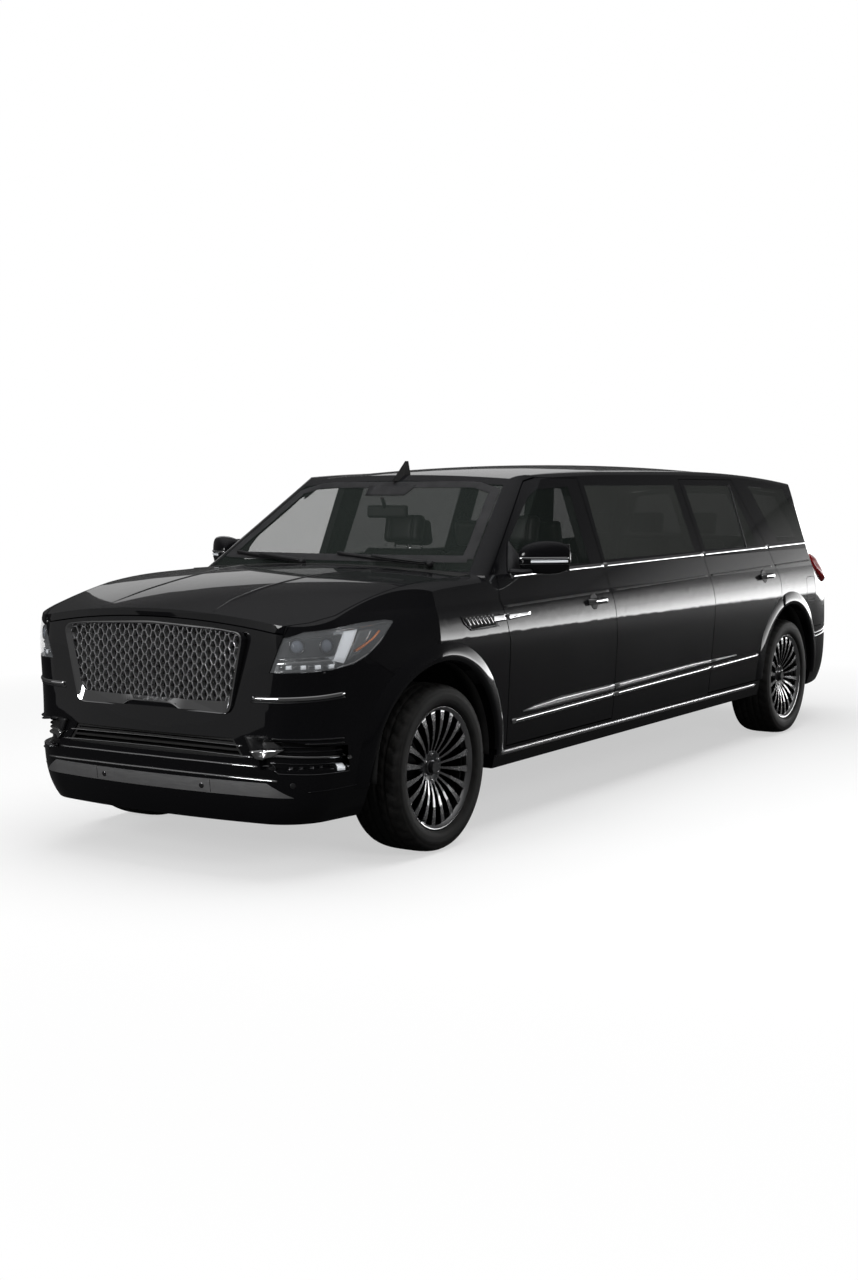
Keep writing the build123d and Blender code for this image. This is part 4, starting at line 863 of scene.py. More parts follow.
# The mirror's shell: outboard, front, foot and top
MIRROR_STATIONS = (
    (0.962, 1.655, 1.345, 1.420), (0.970, 1.682, 1.326, 1.444), (0.985, 1.692, 1.313, 1.459),
    (1.030, 1.680, 1.304, 1.474), (1.080, 1.652, 1.301, 1.478), (1.130, 1.608, 1.304, 1.474),
    (1.162, 1.572, 1.314, 1.461), (1.180, 1.546, 1.330, 1.444), (1.189, 1.528, 1.355, 1.418))
MIRROR_SILVER = chrome("mirror_silver", (0.8, 0.82, 0.83), 0.01, 0.03)


def mirror_unit(side_name, side):
    """A door mirror: deep rounded shell, bright line, lamp, glass, arm and foot."""
    body = f"door_front_{side_name}"
    count = 32
    verts = []
    for y, front, foot, top in MIRROR_STATIONS:
        rear = 1.500 + 0.012 * ((y - 1.076) / 0.113) ** 6
        for ring in circle(count, 1):
            shares = [abs(v) ** 0.72 * (1 if v > 0 else -1) for v in ring]
            verts.append(Vector(((front + rear) / 2 + (front - rear) / 2 * shares[0], side * y,
                                 (foot + top) / 2 + (top - foot) / 2 * shares[1])))
    last = (len(MIRROR_STATIONS) - 1) * count
    faces = tube(len(MIRROR_STATIONS), count)
    faces += [tuple(range(count)), tuple(range(last, last + count))]
    shell = make_object(f"mirror_shell_{side_name}", verts, faces, "mirror_paint", body)
    subdivide(shell)
    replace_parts(shell, f"mirror_{side_name}")
    tree = BVHTree.FromPolygons(verts, faces)
    for name, z, inner, outer, wide, lift, slot, look in (
            ("line", 1.388, 0.975, 1.186, 0.012, 0.005, "chrome_trim", None),
            ("lamp", 1.371, 1.040, 1.183, 0.012, 0.004, "lamp_clear", LAMP_LIGHT),
            ("joint", 1.356, 0.975, 1.184, 0.004, 0.002, "frame_black", None)):
        skin_strip(f"mirror_{name}_{side_name}", tree, [(side * inner, z), (side * outer, z)],
                   wide, lift, slot, body, hit=front_hit, look=look)
    box(f"mirror_glass_{side_name}", (1.500, side * 1.078, 1.390), (0.006, 0.176, 0.120),
        "chrome_trim", body, 0.003, look=MIRROR_SILVER)
    box(f"mirror_bezel_{side_name}", (1.504, side * 1.078, 1.390), (0.008, 0.194, 0.138),
        "frame_black", body, 0.003)
    path = [Vector((x, side * y, z)) for x, y, z in
            ((1.722, 0.930, 1.322), (1.696, 0.962, 1.318), (1.664, 0.996, 1.318),
             (1.634, 1.030, 1.326))]
    verts, faces = sweep(path, [Vector((0, 0, 1))] * 4, circle(20, 0.046, 0.015))
    subdivide(make_object(f"mirror_arm_{side_name}", verts, faces, "frame_black", body))
    skin_patch(f"mirror_sail_{side_name}", trees_of(f"glass_front_{side_name}", body),
               [(1.742, 1.318), (1.600, 1.318), (1.600, 1.330), (1.608, 1.468)], 0.010,
               "frame_black", body, side, 6, 4)


# ---- wheels -------------------------------------------------------------------------
BEAD_RADIUS = 0.2985
# The tread: its share of the tyre's half width, how far its crown drops at the edge, its
# grooves' places as shares of that half width, their half width and depth, the depth of its
# cross cuts, and its steps across
TREAD_SHARE, CROWN_DROP = 0.86, 0.011
GROOVES, GROOVE_HALF, GROOVE_DEEP = (-0.5, -0.17, 0.17, 0.5), 0.0055, 0.008
CUT_DEEP, TREAD_STEPS = 0.006, 44


def tyre(tag, centre):
    """A tyre with ribs, cross cuts and shoulder blocks in its tread."""
    node = f"tyre_{tag}"
    low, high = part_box(node)
    radius = (high[2] - low[2]) / 2
    half = (high[1] - low[1]) / 2
    tread = half * TREAD_SHARE
    # Each point of the section: across, radius, whether the tread's cuts reach it
    wall = [(y * half, BEAD_RADIUS + r, 0) for y, r in (
        (-0.86, 0.002), (-0.93, 0.006), (-0.965, 0.016), (-0.975, 0.018), (-0.978, 0.026),
        (-0.985, 0.028), (-0.99, 0.036), (-1.0, 0.055), (-0.99, 0.072), (-0.984, 0.073),
        (-0.978, 0.080), (-0.955, 0.090))]
    profile = list(wall)
    for i in range(TREAD_STEPS + 1):
        y = -tread + 2 * tread * i / TREAD_STEPS
        crown = radius - CROWN_DROP * (y / tread) ** 4
        groove = any(abs(y - g * half) < GROOVE_HALF for g in GROOVES)
        profile.append((y, crown - (GROOVE_DEEP if groove else 0), not groove))
    profile += [(-y, r, 0) for y, r, _ in wall[::-1]]
    count = 216
    verts = []
    for y, r, cut in profile:
        lean = int(round(abs(y) * 60))
        for i in range(count):
            slot_here = cut and (i + lean) % 6 == 0 and abs(y) > 0.02
            level = r - (CUT_DEEP if slot_here else 0)
            angle = 2 * pi * i / count
            verts.append(centre + Vector((level * cos(angle), y, level * sin(angle))))
    last = (len(profile) - 1) * count
    faces = tube(len(profile), count)
    faces += [(i, (i + 1) % count, last + (i + 1) % count, last + i) for i in range(count)]
    obj = make_object(f"tyre_tread_{tag}", verts, faces, "tyre_rubber", f"wheel_{tag}")
    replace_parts(obj, node)


BLADES = 20
# Blade along its length: radius, half width, outboard place of its bright face
BLADE_STATIONS = ((0.066, 0.0052, 0.076), (0.100, 0.0062, 0.090), (0.140, 0.0080, 0.103),
                  (0.190, 0.0110, 0.112), (0.235, 0.0145, 0.115), (0.270, 0.0180, 0.114),
                  (0.288, 0.0215, 0.112))
# Blade across: share of its half width, depth behind the bright face
BLADE_SECTION = ((-0.62, 0.044), (-1.0, 0.004), (-0.88, 0), (0.88, 0), (1.0, 0.004),
                 (0.62, 0.044))
# Turned parts of a wheel: name, section of (outboard, radius), slot, material, steps round
WHEEL_RINGS = (
    ("rim_lip", ((0.090, 0.281), (0.112, 0.284), (0.120, 0.292), (0.127, 0.2975),
                 (0.1275, 0.2945), (0.122, 0.288), (0.117, 0.280), (0.108, 0.274),
                 (0.080, 0.270)), "wheel_silver",
     chrome("rim_bright", (0.6, 0.6, 0.61), 0.16, 0.26), 96),
    ("rim_barrel", ((-0.127, 0.297), (-0.119, 0.296), (-0.110, 0.281), (0.095, 0.281),
                    (0.090, 0.272), (0.060, 0.268), (-0.100, 0.268), (-0.122, 0.285)),
     "wheel_silver", DARK_CHROME, 96),
    ("brake_disc", ((-0.060, 0.188), (-0.030, 0.188), (-0.030, 0.110), (-0.010, 0.100),
                    (0.030, 0.084), (0.070, 0.080), (0.070, 0.030), (0.0, 0.030),
                    (-0.060, 0.030)), "cast_metal", None, 64),
    ("hub_face", ((0.040, 0.088), (0.072, 0.086), (0.080, 0.078), (0.076, 0.068),
                  (0.068, 0.045), (0.070, 0.002), (0.040, 0.002)), "wheel_silver",
     MODULE_BLACK, 64),
)


def rim(tag, side, centre):
    """A wheel of domed blades with bright faces and dark pockets, and its brake disc."""
    body = f"wheel_{tag}"
    verts = []
    faces = []
    rows = len(BLADE_STATIONS)
    for blade in range(BLADES):
        angle = 2 * pi * (blade + 0.5) / BLADES
        way = Vector((cos(angle), 0, sin(angle)))
        across = Vector((-sin(angle), 0, cos(angle)))
        start = len(verts)
        for radius, half, y in BLADE_STATIONS:
            for share, depth in BLADE_SECTION:
                verts.append(centre + way * radius + across * half * share
                             + Vector((0, side * (y - depth), 0)))
        for k in range(rows - 1):
            for j in range(6):
                a = start + k * 6 + j
                b = start + k * 6 + (j + 1) % 6
                faces.append((a, b, b + 6, a + 6))
        faces.append(tuple(start + j for j in range(6)))
        faces.append(tuple(start + (rows - 1) * 6 + j for j in range(6)))
    blades = make_object(f"blades_{tag}", verts, faces, "wheel_silver", body, False)
    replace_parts(blades, f"rim_{tag}")
    for name, profile, slot, look, count in WHEEL_RINGS:
        turned_ring(f"{name}_{tag}", profile, centre, side, slot, body, count, look)


def wheel_details(tag, side, centre):
    """The hub's cap, its nuts and the valve."""
    body = f"wheel_{tag}"
    out = Vector((0, side, 0))
    face = centre + out * 0.070
    lathe(f"hub_cap_{tag}",
          [(-0.012, 0.040), (0.003, 0.040), (0.008, 0.037), (0.010, 0.030), (0.0105, 0.004)],
          face, out, "wheel_silver", body, look=DARK_CHROME)
    for i in range(6):
        angle = 2 * pi * (i + 0.5) / 6
        place = face + Vector((0.062 * cos(angle), 0, 0.062 * sin(angle)))
        lathe(f"lug_nut_{i}_{tag}",
              [(-0.014, 0.0115), (0.006, 0.0115), (0.010, 0.009), (0.0115, 0.003)],
              place, out, "chrome_trim", body, 6)
    angle = radians(-58)
    place = centre + Vector((0.272 * cos(angle), side * 0.112, 0.272 * sin(angle)))
    lathe(f"valve_{tag}", [(0, 0.004), (0.022, 0.004), (0.024, 0.003)], place,
          out, "frame_black", body, 12)


# ---- front of the car ---------------------------------------------------------------
GRILLE_OUTER = [(0, 1.141), (0.400, 1.124), (0.545, 1.108), (0.462, 0.740), (0.180, 0.740),
                (0.130, 0.768), (0, 0.768)]
GRILLE_INNER = [(0, 1.128), (0.396, 1.111), (0.522, 1.096), (0.446, 0.796), (0.190, 0.790),
                (0.136, 0.792), (0, 0.792)]
GRILLE_FACE_X = 3.412
MESH_X = 3.388
CELL_WIDE = 0.055
CELL_TALL = 0.056
CELL_FLAT = 0.0075


def both_halves(half):
    """A closed outline of (y, z) from its left half, given top to bottom."""
    return half + [(-y, z) for y, z in reversed(half) if y > 0]


def inside(outline, y, z):
    """Whether a point of the front lies within an outline."""
    odd = False
    for a, b in zip(outline, outline[1:] + outline[:1]):
        if (a[1] > z) != (b[1] > z) and y < a[0] + (b[0] - a[0]) * (z - a[1]) / (b[1] - a[1]):
            odd = not odd
    return odd


def clipped(outline, a, b):
    """The part of the run a-b that lies within the outline, or None."""
    ends = [inside(outline, *a), inside(outline, *b)]
    if not any(ends):
        return None
    if all(ends):
        return a, b
    keep, drop = (a, b) if ends[0] else (b, a)
    for _ in range(8):
        middle = ((keep[0] + drop[0]) / 2, (keep[1] + drop[1]) / 2)
        if inside(outline, *middle):
            keep = middle
        else:
            drop = middle
    return (a if ends[0] else b), keep


def grille():
    """A deep bright surround, and a mesh of tall staggered six-sided cells behind it."""
    outer = rounded(both_halves(GRILLE_OUTER), 0.045)
    inner = rounded(both_halves(GRILLE_INNER), 0.035)
    middle = Vector((0, 0.95))
    verts = []
    for outline, x, grow in ((outer, GRILLE_FACE_X - 0.040, 0.004),
                             (outer, GRILLE_FACE_X - 0.002, 0.003),
                             (outer, GRILLE_FACE_X + 0.002, -0.002),
                             (outer, GRILLE_FACE_X - 0.001, -0.009),
                             (inner, MESH_X + 0.004, 0.001), (inner, MESH_X - 0.030, 0.0)):
        verts += [Vector((x, *(Vector(p) + (Vector(p) - middle).normalized() * grow)))
                  for p in outline]
    count = len(outer)
    make_object("grille_surround", verts, tube(6, count), "chrome_trim", smooth=False)
    verts = [Vector((MESH_X - depth, y, z)) for depth in (0.026, 0.036) for y, z in inner]
    sheet = [tuple(range(count)), tuple(range(2 * count - 1, count - 1, -1))]
    sheet += [(i, i + count, (i + 1) % count + count, (i + 1) % count) for i in range(count)]
    make_object("grille_backing", verts, sheet, "black_plastic", smooth=False)
    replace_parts(cell_mesh(inner), "grille")


def cell_mesh(outline):
    """The six-sided wires of the mesh, cut off at an outline."""
    runs = []
    reach = CELL_WIDE / 2 - CELL_FLAT
    for i in range(-24, 25):
        for j in range(-1, 16):
            y = i * CELL_WIDE / 2
            z = 0.760 + (j + (i % 2) / 2) * CELL_TALL
            end = (y + CELL_FLAT, z)
            runs += [((y - CELL_FLAT, z), end), (end, (y + reach, z + CELL_TALL / 2)),
                     (end, (y + reach, z - CELL_TALL / 2))]
    verts = []
    faces = []
    for run in runs:
        kept = clipped(outline, *run)
        if not kept:
            continue
        a, b = Vector(kept[0]), Vector(kept[1])
        if (b - a).length < 0.001:
            continue
        along = (b - a).normalized()
        across = Vector((-along.y, along.x))
        start = len(verts)
        for end in (a, b):
            for x, half in ((MESH_X - 0.024, 0.0032), (MESH_X - 0.002, 0.0021),
                            (MESH_X, 0.0010)):
                for turn in (-1, 1):
                    place = end + across * half * turn
                    verts.append(Vector((x, place.x, place.y)))
        faces += [tuple(start + n for n in face)
                  for face in ((0, 2, 8, 6), (1, 7, 9, 3), (2, 4, 10, 8), (3, 9, 11, 5),
                               (4, 5, 11, 10))]
    return make_object("grille_mesh", verts, faces, "chrome_trim", smooth=False,
                       look=GRILLE_SILVER)


# Mouldings round the bumper's corner: name, path of (bearing, z), width, height and slot
CORNER_LINES = (
    ("lamp_foot_trim", [(11.5, 0.816), (25, 0.818), (38, 0.824), (49.5, 0.833)], 0.020, 0.007,
     "chrome_trim"),
    ("lamp_foot_shadow", [(10.5, 0.800), (25, 0.802), (38, 0.808), (50, 0.817)], 0.008, 0.003,
     "frame_black"),
    *[(f"side_louvre_{i}", [(20, z), (35, z - 0.004), (49, z - 0.008)], 0.007, 0.012,
       "frame_black") for i, z in enumerate((0.642, 0.622, 0.602, 0.582))],
    ("intake_blade", [(17.5, 0.563), (30, 0.556), (42, 0.549), (52, 0.544)], 0.018, 0.016,
     "chrome_trim"),
    ("corner_crease", [(34, 0.400), (46, 0.404), (60, 0.410), (72, 0.414)], 0.006, 0.004,
     "body_paint"),
)


def cells(name, low, high, first, step, wide, count):
    """A row of small four-cornered cells round the corner."""
    return [(f"{name}_{i}", [(first + step * i, high[0]), (first + step * i + wide, high[1]),
                             (first + step * i + wide, low[1]), (first + step * i, low[0])])
            for i in range(count)]


# Plates round the bumper's corner: name, corners as (bearing, z), thickness, slot, rows,
# columns and material where it is not the slot's
CORNER_PLATES = (
    ("intake_bracket", [(8.5, 0.648), (17.5, 0.652), (24.5, 0.590), (11.5, 0.580)], 0.016,
     "frame_black", 6, 8, None),
    ("intake_hook", [(11.0, 0.584), (24.5, 0.592), (19.5, 0.556), (14.5, 0.540)], 0.020,
     "chrome_trim", 4, 8, None),
    *[(name, corners, 0.004, "lamp_housing", 2, 2, DARK_CHROME)
      for name, corners in cells("fog_cell", (0.499, 0.498), (0.512, 0.511), 26, 4.0, 2.0, 5)],
    ("fog_lamp", [(46.0, 0.512), (49.5, 0.511), (49.5, 0.488), (46.0, 0.489)], 0.006,
     "lamp_clear", 3, 3, LAMP_LIGHT),
)
# Bright lines across the bumper: name, height, drop at the ends, half length and width
FRONT_LINES = (("skid_line", 0.462, 0.010, 0.700, 0.010),
               ("intake_line_low", 0.520, 0.008, 0.640, 0.009),
               ("intake_line_mid", 0.560, 0.006, 0.585, 0.007),
               ("intake_line_top", 0.606, 0.004, 0.530, 0.007))


def lower_front():
    """The strips, louvres and brackets of the bumper, and its sensors."""
    bumper = trees_of("bumper_front", "intake_grille", "skid_plate", "grille")
    for side_name, side in SIDES:
        for name, path, wide, tall, slot in CORNER_LINES:
            skin_strip(f"{name}_{side_name}", bumper, path, wide, tall, slot, side=side,
                       hit=corner_hit)
        for name, corners, thick, slot, rows, columns, look in CORNER_PLATES:
            skin_patch(f"{name}_{side_name}", bumper, corners, thick, slot, "body", side,
                       rows, columns, corner_hit, 0.0, look)
        skin_strip(f"fog_surround_{side_name}", bumper,
                   [(18.5, 0.528), (35, 0.521), (51, 0.515), (52, 0.480), (36, 0.480),
                    (22.5, 0.486)], 0.006, 0.006, "chrome_trim", "body", side, 60, corner_hit,
                   closed=True, look=DARK_CHROME)
        lathe(f"corner_sensor_{side_name}", [(-0.006, 0.013), (0.001, 0.013), (0.002, 0.011)],
              *corner_hit(bumper, 28, 0.432, side), "frame_black", count=24)
    box("notch_fill", (3.395, 0, 0.752), (0.030, 0.300, 0.034), "body_paint", soft=0.003)
    for name, z, drop, reach, wide in FRONT_LINES:
        path = [(share * reach, z - drop * share ** 2) for share in (-1, -0.5, 0, 0.5, 1)]
        skin_strip(name, bumper, path, wide, 0.007, "chrome_trim", steps=60, hit=front_hit)
    for i, y in enumerate((-0.30, 0.30)):
        lathe(f"skid_sensor_{i}", [(-0.006, 0.013), (0.0012, 0.013), (0.002, 0.0104)],
              *front_hit(bumper, y, 0.404), "frame_black", count=24, look=DARK_CHROME)
        skin_strip(f"skid_seam_{i}", bumper, [(y * 1.16, 0.436), (y * 1.16, 0.378)], 0.003,
                   0.0012, "frame_black", steps=6, hit=front_hit)


LAMP_BOX = [(22.5, 1.084), (50.5, 1.100), (46.0, 1.004), (20.5, 0.994)]
LAMP_EDGE = [(16.5, 0.930), (18.0, 0.985), (20.0, 1.050), (22.5, 1.100), (30.0, 1.112),
             (45.0, 1.120), (60.0, 1.124), (78.0, 1.133), (86.0, 1.136), (82.5, 1.112),
             (74.0, 1.055), (65.0, 1.002), (56.0, 0.968), (46.0, 0.948), (35.0, 0.936),
             (25.0, 0.930)]
# Plates in a headlamp: name, corners, thickness, slot, depth behind the lens, rows,
# columns and material where it is not the slot's
LAMP_PLATES = (
    ("lamp_box", LAMP_BOX, 0.010, "lamp_housing", 0.030, 8, 18, MODULE_BLACK),
    ("lamp_shelf", [(20.0, 0.984), (47.0, 0.992), (48.0, 0.930), (18.0, 0.926)], 0.004,
     "lamp_housing", 0.026, 4, 16, None),
    *[(name, corners, 0.008, "lamp_clear", 0.022, 2, 2, LAMP_LIGHT if i % 2 else DARK_CHROME)
      for i, (name, corners) in enumerate(
          cells("lamp_cell", (0.949, 0.950), (0.966, 0.967), 22.5, 3.0, 2.2, 8))],
    ("lamp_guide", [(51.5, 1.112), (59.5, 1.116), (50.5, 0.968), (45.5, 0.982)], 0.006,
     "lamp_clear", 0.020, 6, 4, LAMP_LIGHT),
    ("lamp_facet", [(61.5, 1.116), (72.0, 1.122), (60.0, 1.000), (53.0, 0.975)], 0.004,
     "lamp_housing", 0.024, 6, 6, None),
)
# Lines in a headlamp: name, path, width, height, slot, steps, depth, whether it is closed
# and material where it is not the slot's
LAMP_LINES = (
    ("lamp_box_rim", LAMP_BOX, 0.005, 0.006, "chrome_trim", 70, 0.022, True, None),
    ("lamp_edge", LAMP_EDGE, 0.006, 0.004, "chrome_trim", 160, 0.008, True, None),
    ("lamp_marker", [(75.0, 1.100), (70.0, 1.070), (62.0, 1.035), (57.5, 1.018)], 0.009, 0.005,
     "lamp_clear", 16, 0.014, False, AMBER),
)


def headlamps():
    """A dark box with two projectors in a bright bowl, a row of cells and a light guide."""
    lamp = trees_of("headlamp_covers", "bumper_front", "fenders", "hood", "headlamps")
    for side_name, side in SIDES:
        for name, corners, thick, slot, depth, rows, columns, look in LAMP_PLATES:
            skin_patch(f"{name}_{side_name}", lamp, corners, thick, slot, "body", side, rows,
                       columns, corner_hit, depth, look)
        for name, path, wide, tall, slot, steps, depth, closed, look in LAMP_LINES:
            skin_strip(f"{name}_{side_name}", lamp, path, wide, tall, slot, "body", side,
                       steps, corner_hit, depth, closed, look)
        for i, bearing in enumerate((30.0, 42.5)):
            spot, normal = corner_hit(lamp, bearing, 1.052, side)
            place = spot - normal * 0.026
            lathe(f"lamp_ring_{i}_{side_name}",
                  [(0, 0.036), (0.012, 0.036), (0.015, 0.034), (0.012, 0.031), (0.003, 0.030)],
                  place, normal, "lamp_housing", count=40, look=DARK_CHROME)
            lathe(f"lamp_lens_{i}_{side_name}",
                  [(0.001, 0.030), (0.008, 0.027), (0.013, 0.020), (0.016, 0.010),
                   (0.0165, 0.002)], place, normal, "lamp_clear", count=40, look=PROJECTOR)


def wipers():
    """Two parked arms with blades along the windscreen's foot."""
    screen = trees_of("windscreen")
    for i, path in enumerate(([(-0.15, 1.352), (-0.72, 1.395)],
                              [(0.62, 1.352), (0.02, 1.402)])):
        spots, ups = laid(screen, path, 12, 1, front_hit)
        spots = [p + n * 0.010 for p, n in zip(spots, ups)]
        verts, faces = sweep(spots, ups, [(-0.006, -0.008), (0.006, -0.008), (0.009, 0.0),
                                          (0.004, 0.006), (-0.004, 0.006), (-0.009, 0.0)])
        make_object(f"wiper_blade_{i}", verts, faces, "frame_black")
        arm = [p + n * 0.016 + Vector((0.012, 0, -0.004)) for p, n in zip(spots, ups)][:8]
        verts, faces = sweep(arm, ups[:8], [(-0.011, 0), (0.011, 0), (0.007, 0.008),
                                            (-0.007, 0.008)])
        make_object(f"wiper_arm_{i}", verts, faces, "frame_black")
        lathe(f"wiper_pivot_{i}", [(-0.02, 0.018), (0.004, 0.018), (0.010, 0.012)],
              arm[0], ups[0], "frame_black", count=24)


def screen_edge(tree, z):
    """The windscreen's half width at a height."""
    y = 1.0
    while y > 0.3 and not front_hit(tree, y, z):
        y -= 0.004
    return y


def screen_border():
    """The opaque black border fired on the windscreen, and the sensor patch at its top."""
    tree = trees_of("windscreen")
    low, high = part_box("windscreen")
    top = high[2] - 0.022
    foot = low[2] + 0.060
    levels = [foot + (top - foot) * i / 10 for i in range(11)]
    edge = [(screen_edge(tree, z) - 0.032, z) for z in levels]
    half = edge[:-1] + [(edge[-1][0] - 0.02, top - 0.004), (0.45, top), (0.2, top)]
    outline = half + [(0, top)] + [(-y, z) for y, z in reversed(half)]
    loop_strip("screen_border", tree, outline, 0.060, 0.0012, "frame_black", hit=front_hit,
               step=0.03)

    def patch(lift, down, across):
        y = (0.16 - 0.03 * down) * (2 * across - 1)
        spot, normal = front_hit(tree, y, top - 0.060 * down)
        return spot + normal * lift

    plate("screen_patch", 6, 6, (0.0015, -SUNK), patch, "frame_black")


def hood_creases():
    """Two long raised folds on the hood, one on each side of its raised middle."""
    path = [(1.98, 0.500), (2.30, 0.405), (2.61, 0.335), (2.96, 0.312), (3.20, 0.318),
            (3.385, 0.345)]
    # The path's first steps lie behind the hood's edge
    steps, behind = 40, 4
    for side_name, side in SIDES:
        spots, ups = laid(trees_of("hood"), path, steps, side, top_hit)
        for i, up in enumerate(ups):
            step = i + behind
            fade = min(1, step / 6, (steps - step) / 10)
            spots[i] -= up * 0.0036 * (1 - fade)
        verts, faces = sweep(spots, ups, [(0.016, -0.003), (0.016, 0.0), (0.003, 0.0034),
                                          (-0.003, 0.0034), (-0.016, 0.0), (-0.016, -0.003)])
        make_object(f"hood_crease_0_{side_name}", verts, faces, "body_paint", "hood")


# Strips across the rear: name, where it lies, path of (y, z), width, height, slot, steps
GATE, BUMPER = ("liftgate", "liftgate"), ("bumper_rear", "body")
REAR_STRIPS = (
    ("gate_strip", GATE, [(-0.70, 1.018), (0, 1.024), (0.70, 1.018)], 0.026, 0.009,
     "chrome_trim", 60),
    *[(f"gate_lamp_{i}", GATE, [(y - 0.13, 1.118), (y + 0.13, 1.118)], 0.105, 0.012,
       "lamp_red", 16) for i, y in enumerate((-0.66, 0.66))],
    ("gate_handle", GATE, [(-0.16, 0.987), (0.16, 0.987)], 0.026, 0.006, "frame_black", 12),
    ("stop_lamp", GATE, [(-0.20, 1.730), (0.20, 1.730)], 0.014, 0.006, "lamp_red", 16),
    ("bumper_rear_line", BUMPER, [(-0.80, 0.700), (0, 0.704), (0.80, 0.700)], 0.012, 0.006,
     "chrome_trim", 60),
    ("bumper_rear_skid", BUMPER, [(-0.52, 0.380), (0, 0.384), (0.52, 0.380)], 0.070, 0.006,
     "satin_plate", 40),
    *[(f"reflector_{i}", BUMPER, [(y - 0.07, 0.470), (y + 0.07, 0.470)], 0.028, 0.005,
       "lamp_red", 8) for i, y in enumerate((-0.74, 0.74))],
)


def rear_end():
    """The liftgate's strip, lamps and wiper, and the bumper's lines, sensors and pipes."""
    for name, (node, body), path, wide, tall, slot, steps in REAR_STRIPS:
        skin_strip(name, trees_of(node), path, wide, tall, slot, body, 1, steps, rear_hit)
    pane = trees_of("rear_glass", "liftgate")
    wiper = [rear_hit(pane, y, z) for y, z in ((0.02, 1.352), (-0.15, 1.368), (-0.33, 1.384),
                                               (-0.46, 1.394))]
    verts, faces = sweep([p + n * 0.012 for p, n in wiper], [n for _, n in wiper],
                         [(-0.006, -0.008), (0.006, -0.008), (0.008, 0.002), (0, 0.008),
                          (-0.008, 0.002)])
    make_object("rear_wiper", verts, faces, "frame_black", "liftgate")
    lathe("rear_wiper_pivot", [(-0.02, 0.020), (0.010, 0.020), (0.016, 0.012)], *wiper[0],
          "frame_black", "liftgate", 24)
    bumper = trees_of("bumper_rear")
    for i, y in enumerate((-0.56, -0.19, 0.19, 0.56)):
        lathe(f"rear_sensor_{i}", [(-0.006, 0.012), (0.001, 0.012), (0.002, 0.010)],
              *rear_hit(bumper, y, 0.560), "frame_black", count=24)
    ring = circle(28, 0.052, 0.030)
    bore = [(a * 0.88, b * 0.82) for a, b in ring]
    for i, y in enumerate((-0.62, 0.62)):
        verts = [Vector((x, y + a, 0.292 + b))
                 for x, loop in ((-3.12, ring), (-3.365, ring), (-3.365, bore), (-3.14, bore))
                 for a, b in loop]
        make_object(f"exhaust_tip_{i}", verts, tube(4, 28, ring=True), "chrome_trim")


# ---- seats --------------------------------------------------------------------------
def marks(half, count, seams):
    """Grid places from -half to half, closed up round each seam."""
    gap = 0.007
    places = [half * (2 * i / count - 1) for i in range(count + 1)]
    places = [p for p in places if all(abs(p - s) > gap * 1.6 for s in seams)]
    for seam in seams:
        places += [seam - gap, seam - gap / 2, seam, seam + gap / 2, seam + gap]
    return sorted(places)


def pad_axes(along, lean):
    """The unit ways along, across and out of a pad."""
    along = Vector(along).normalized()
    across = Vector((0, 1, 0))
    up = along.cross(across) * lean
    if up.z < 0 and abs(up.z) > abs(up.x):
        up = -up
    return along, across, up


def pad(name, centre, along, size, crown, seams_along=(), seams_across=(), bolster=0.0,
        lean=1):
    """A stuffed leather pad: crowned, pulled in between its corners, with sewn channels.

    along is its long way in the side plane, and size its length, width and thickness."""
    along, across, up = pad_axes(along, lean)
    half = Vector(size) / 2
    radius = min(size) * 0.36
    xs = marks(half.x, 14, seams_across)
    ys = marks(half.y, 18, seams_along)
    zs = [half.z * v for v in (-1, -0.6, -0.2, 0.2, 0.6, 1)]

    def shaped(x, y, z):
        core = Vector((max(-half.x + radius, min(half.x - radius, x)),
                       max(-half.y + radius, min(half.y - radius, y)),
                       max(-half.z + radius, min(half.z - radius, z))))
        edge = Vector((x, y, z)) - core
        spot = core + edge.normalized() * radius if edge.length > 1e-9 else core
        u, v = spot.x / half.x, spot.y / half.y
        rise = 0.0
        if z > 0:
            rise = crown * max(0, 1 - u * u) * max(0, 1 - v * v)
            rise += bolster * max(0, min(1, (abs(spot.y) - half.y * 0.62) / (half.y * 0.16))) \
                * max(0, 1 - u ** 6)
            dip = sum(exp(-((y - s) / 0.0045) ** 2) for s in seams_along)
            dip += sum(exp(-((x - s) / 0.0045) ** 2) for s in seams_across)
            rise -= 0.008 * min(1.0, dip)
            rise *= min(1, max(0, (spot.z + half.z * 0.2) / half.z))
        pull_x = 1 - 0.022 * max(0, 1 - v * v) * abs(u) ** 3
        pull_y = 1 - 0.018 * max(0, 1 - u * u) * abs(v) ** 3
        return (Vector(centre) + along * spot.x * pull_x + across * spot.y * pull_y
                + up * (spot.z + rise))

    verts = []
    faces = []

    def face_grid(first, second, place):
        start = len(verts)
        for a in first:
            for b in second:
                verts.append(shaped(*place(a, b)))
        wide = len(second)
        for i in range(len(first) - 1):
            for j in range(wide - 1):
                k = start + i * wide + j
                faces.append((k, k + 1, k + wide + 1, k + wide))

    for end in (-1, 1):
        face_grid(xs, ys, lambda a, b: (a, b, end * half.z))
        face_grid(xs, zs, lambda a, b: (a, end * half.y, b))
        face_grid(ys, zs, lambda a, b: (end * half.x, a, b))
    obj = make_object(name, verts, faces, "seat_leather")
    return obj


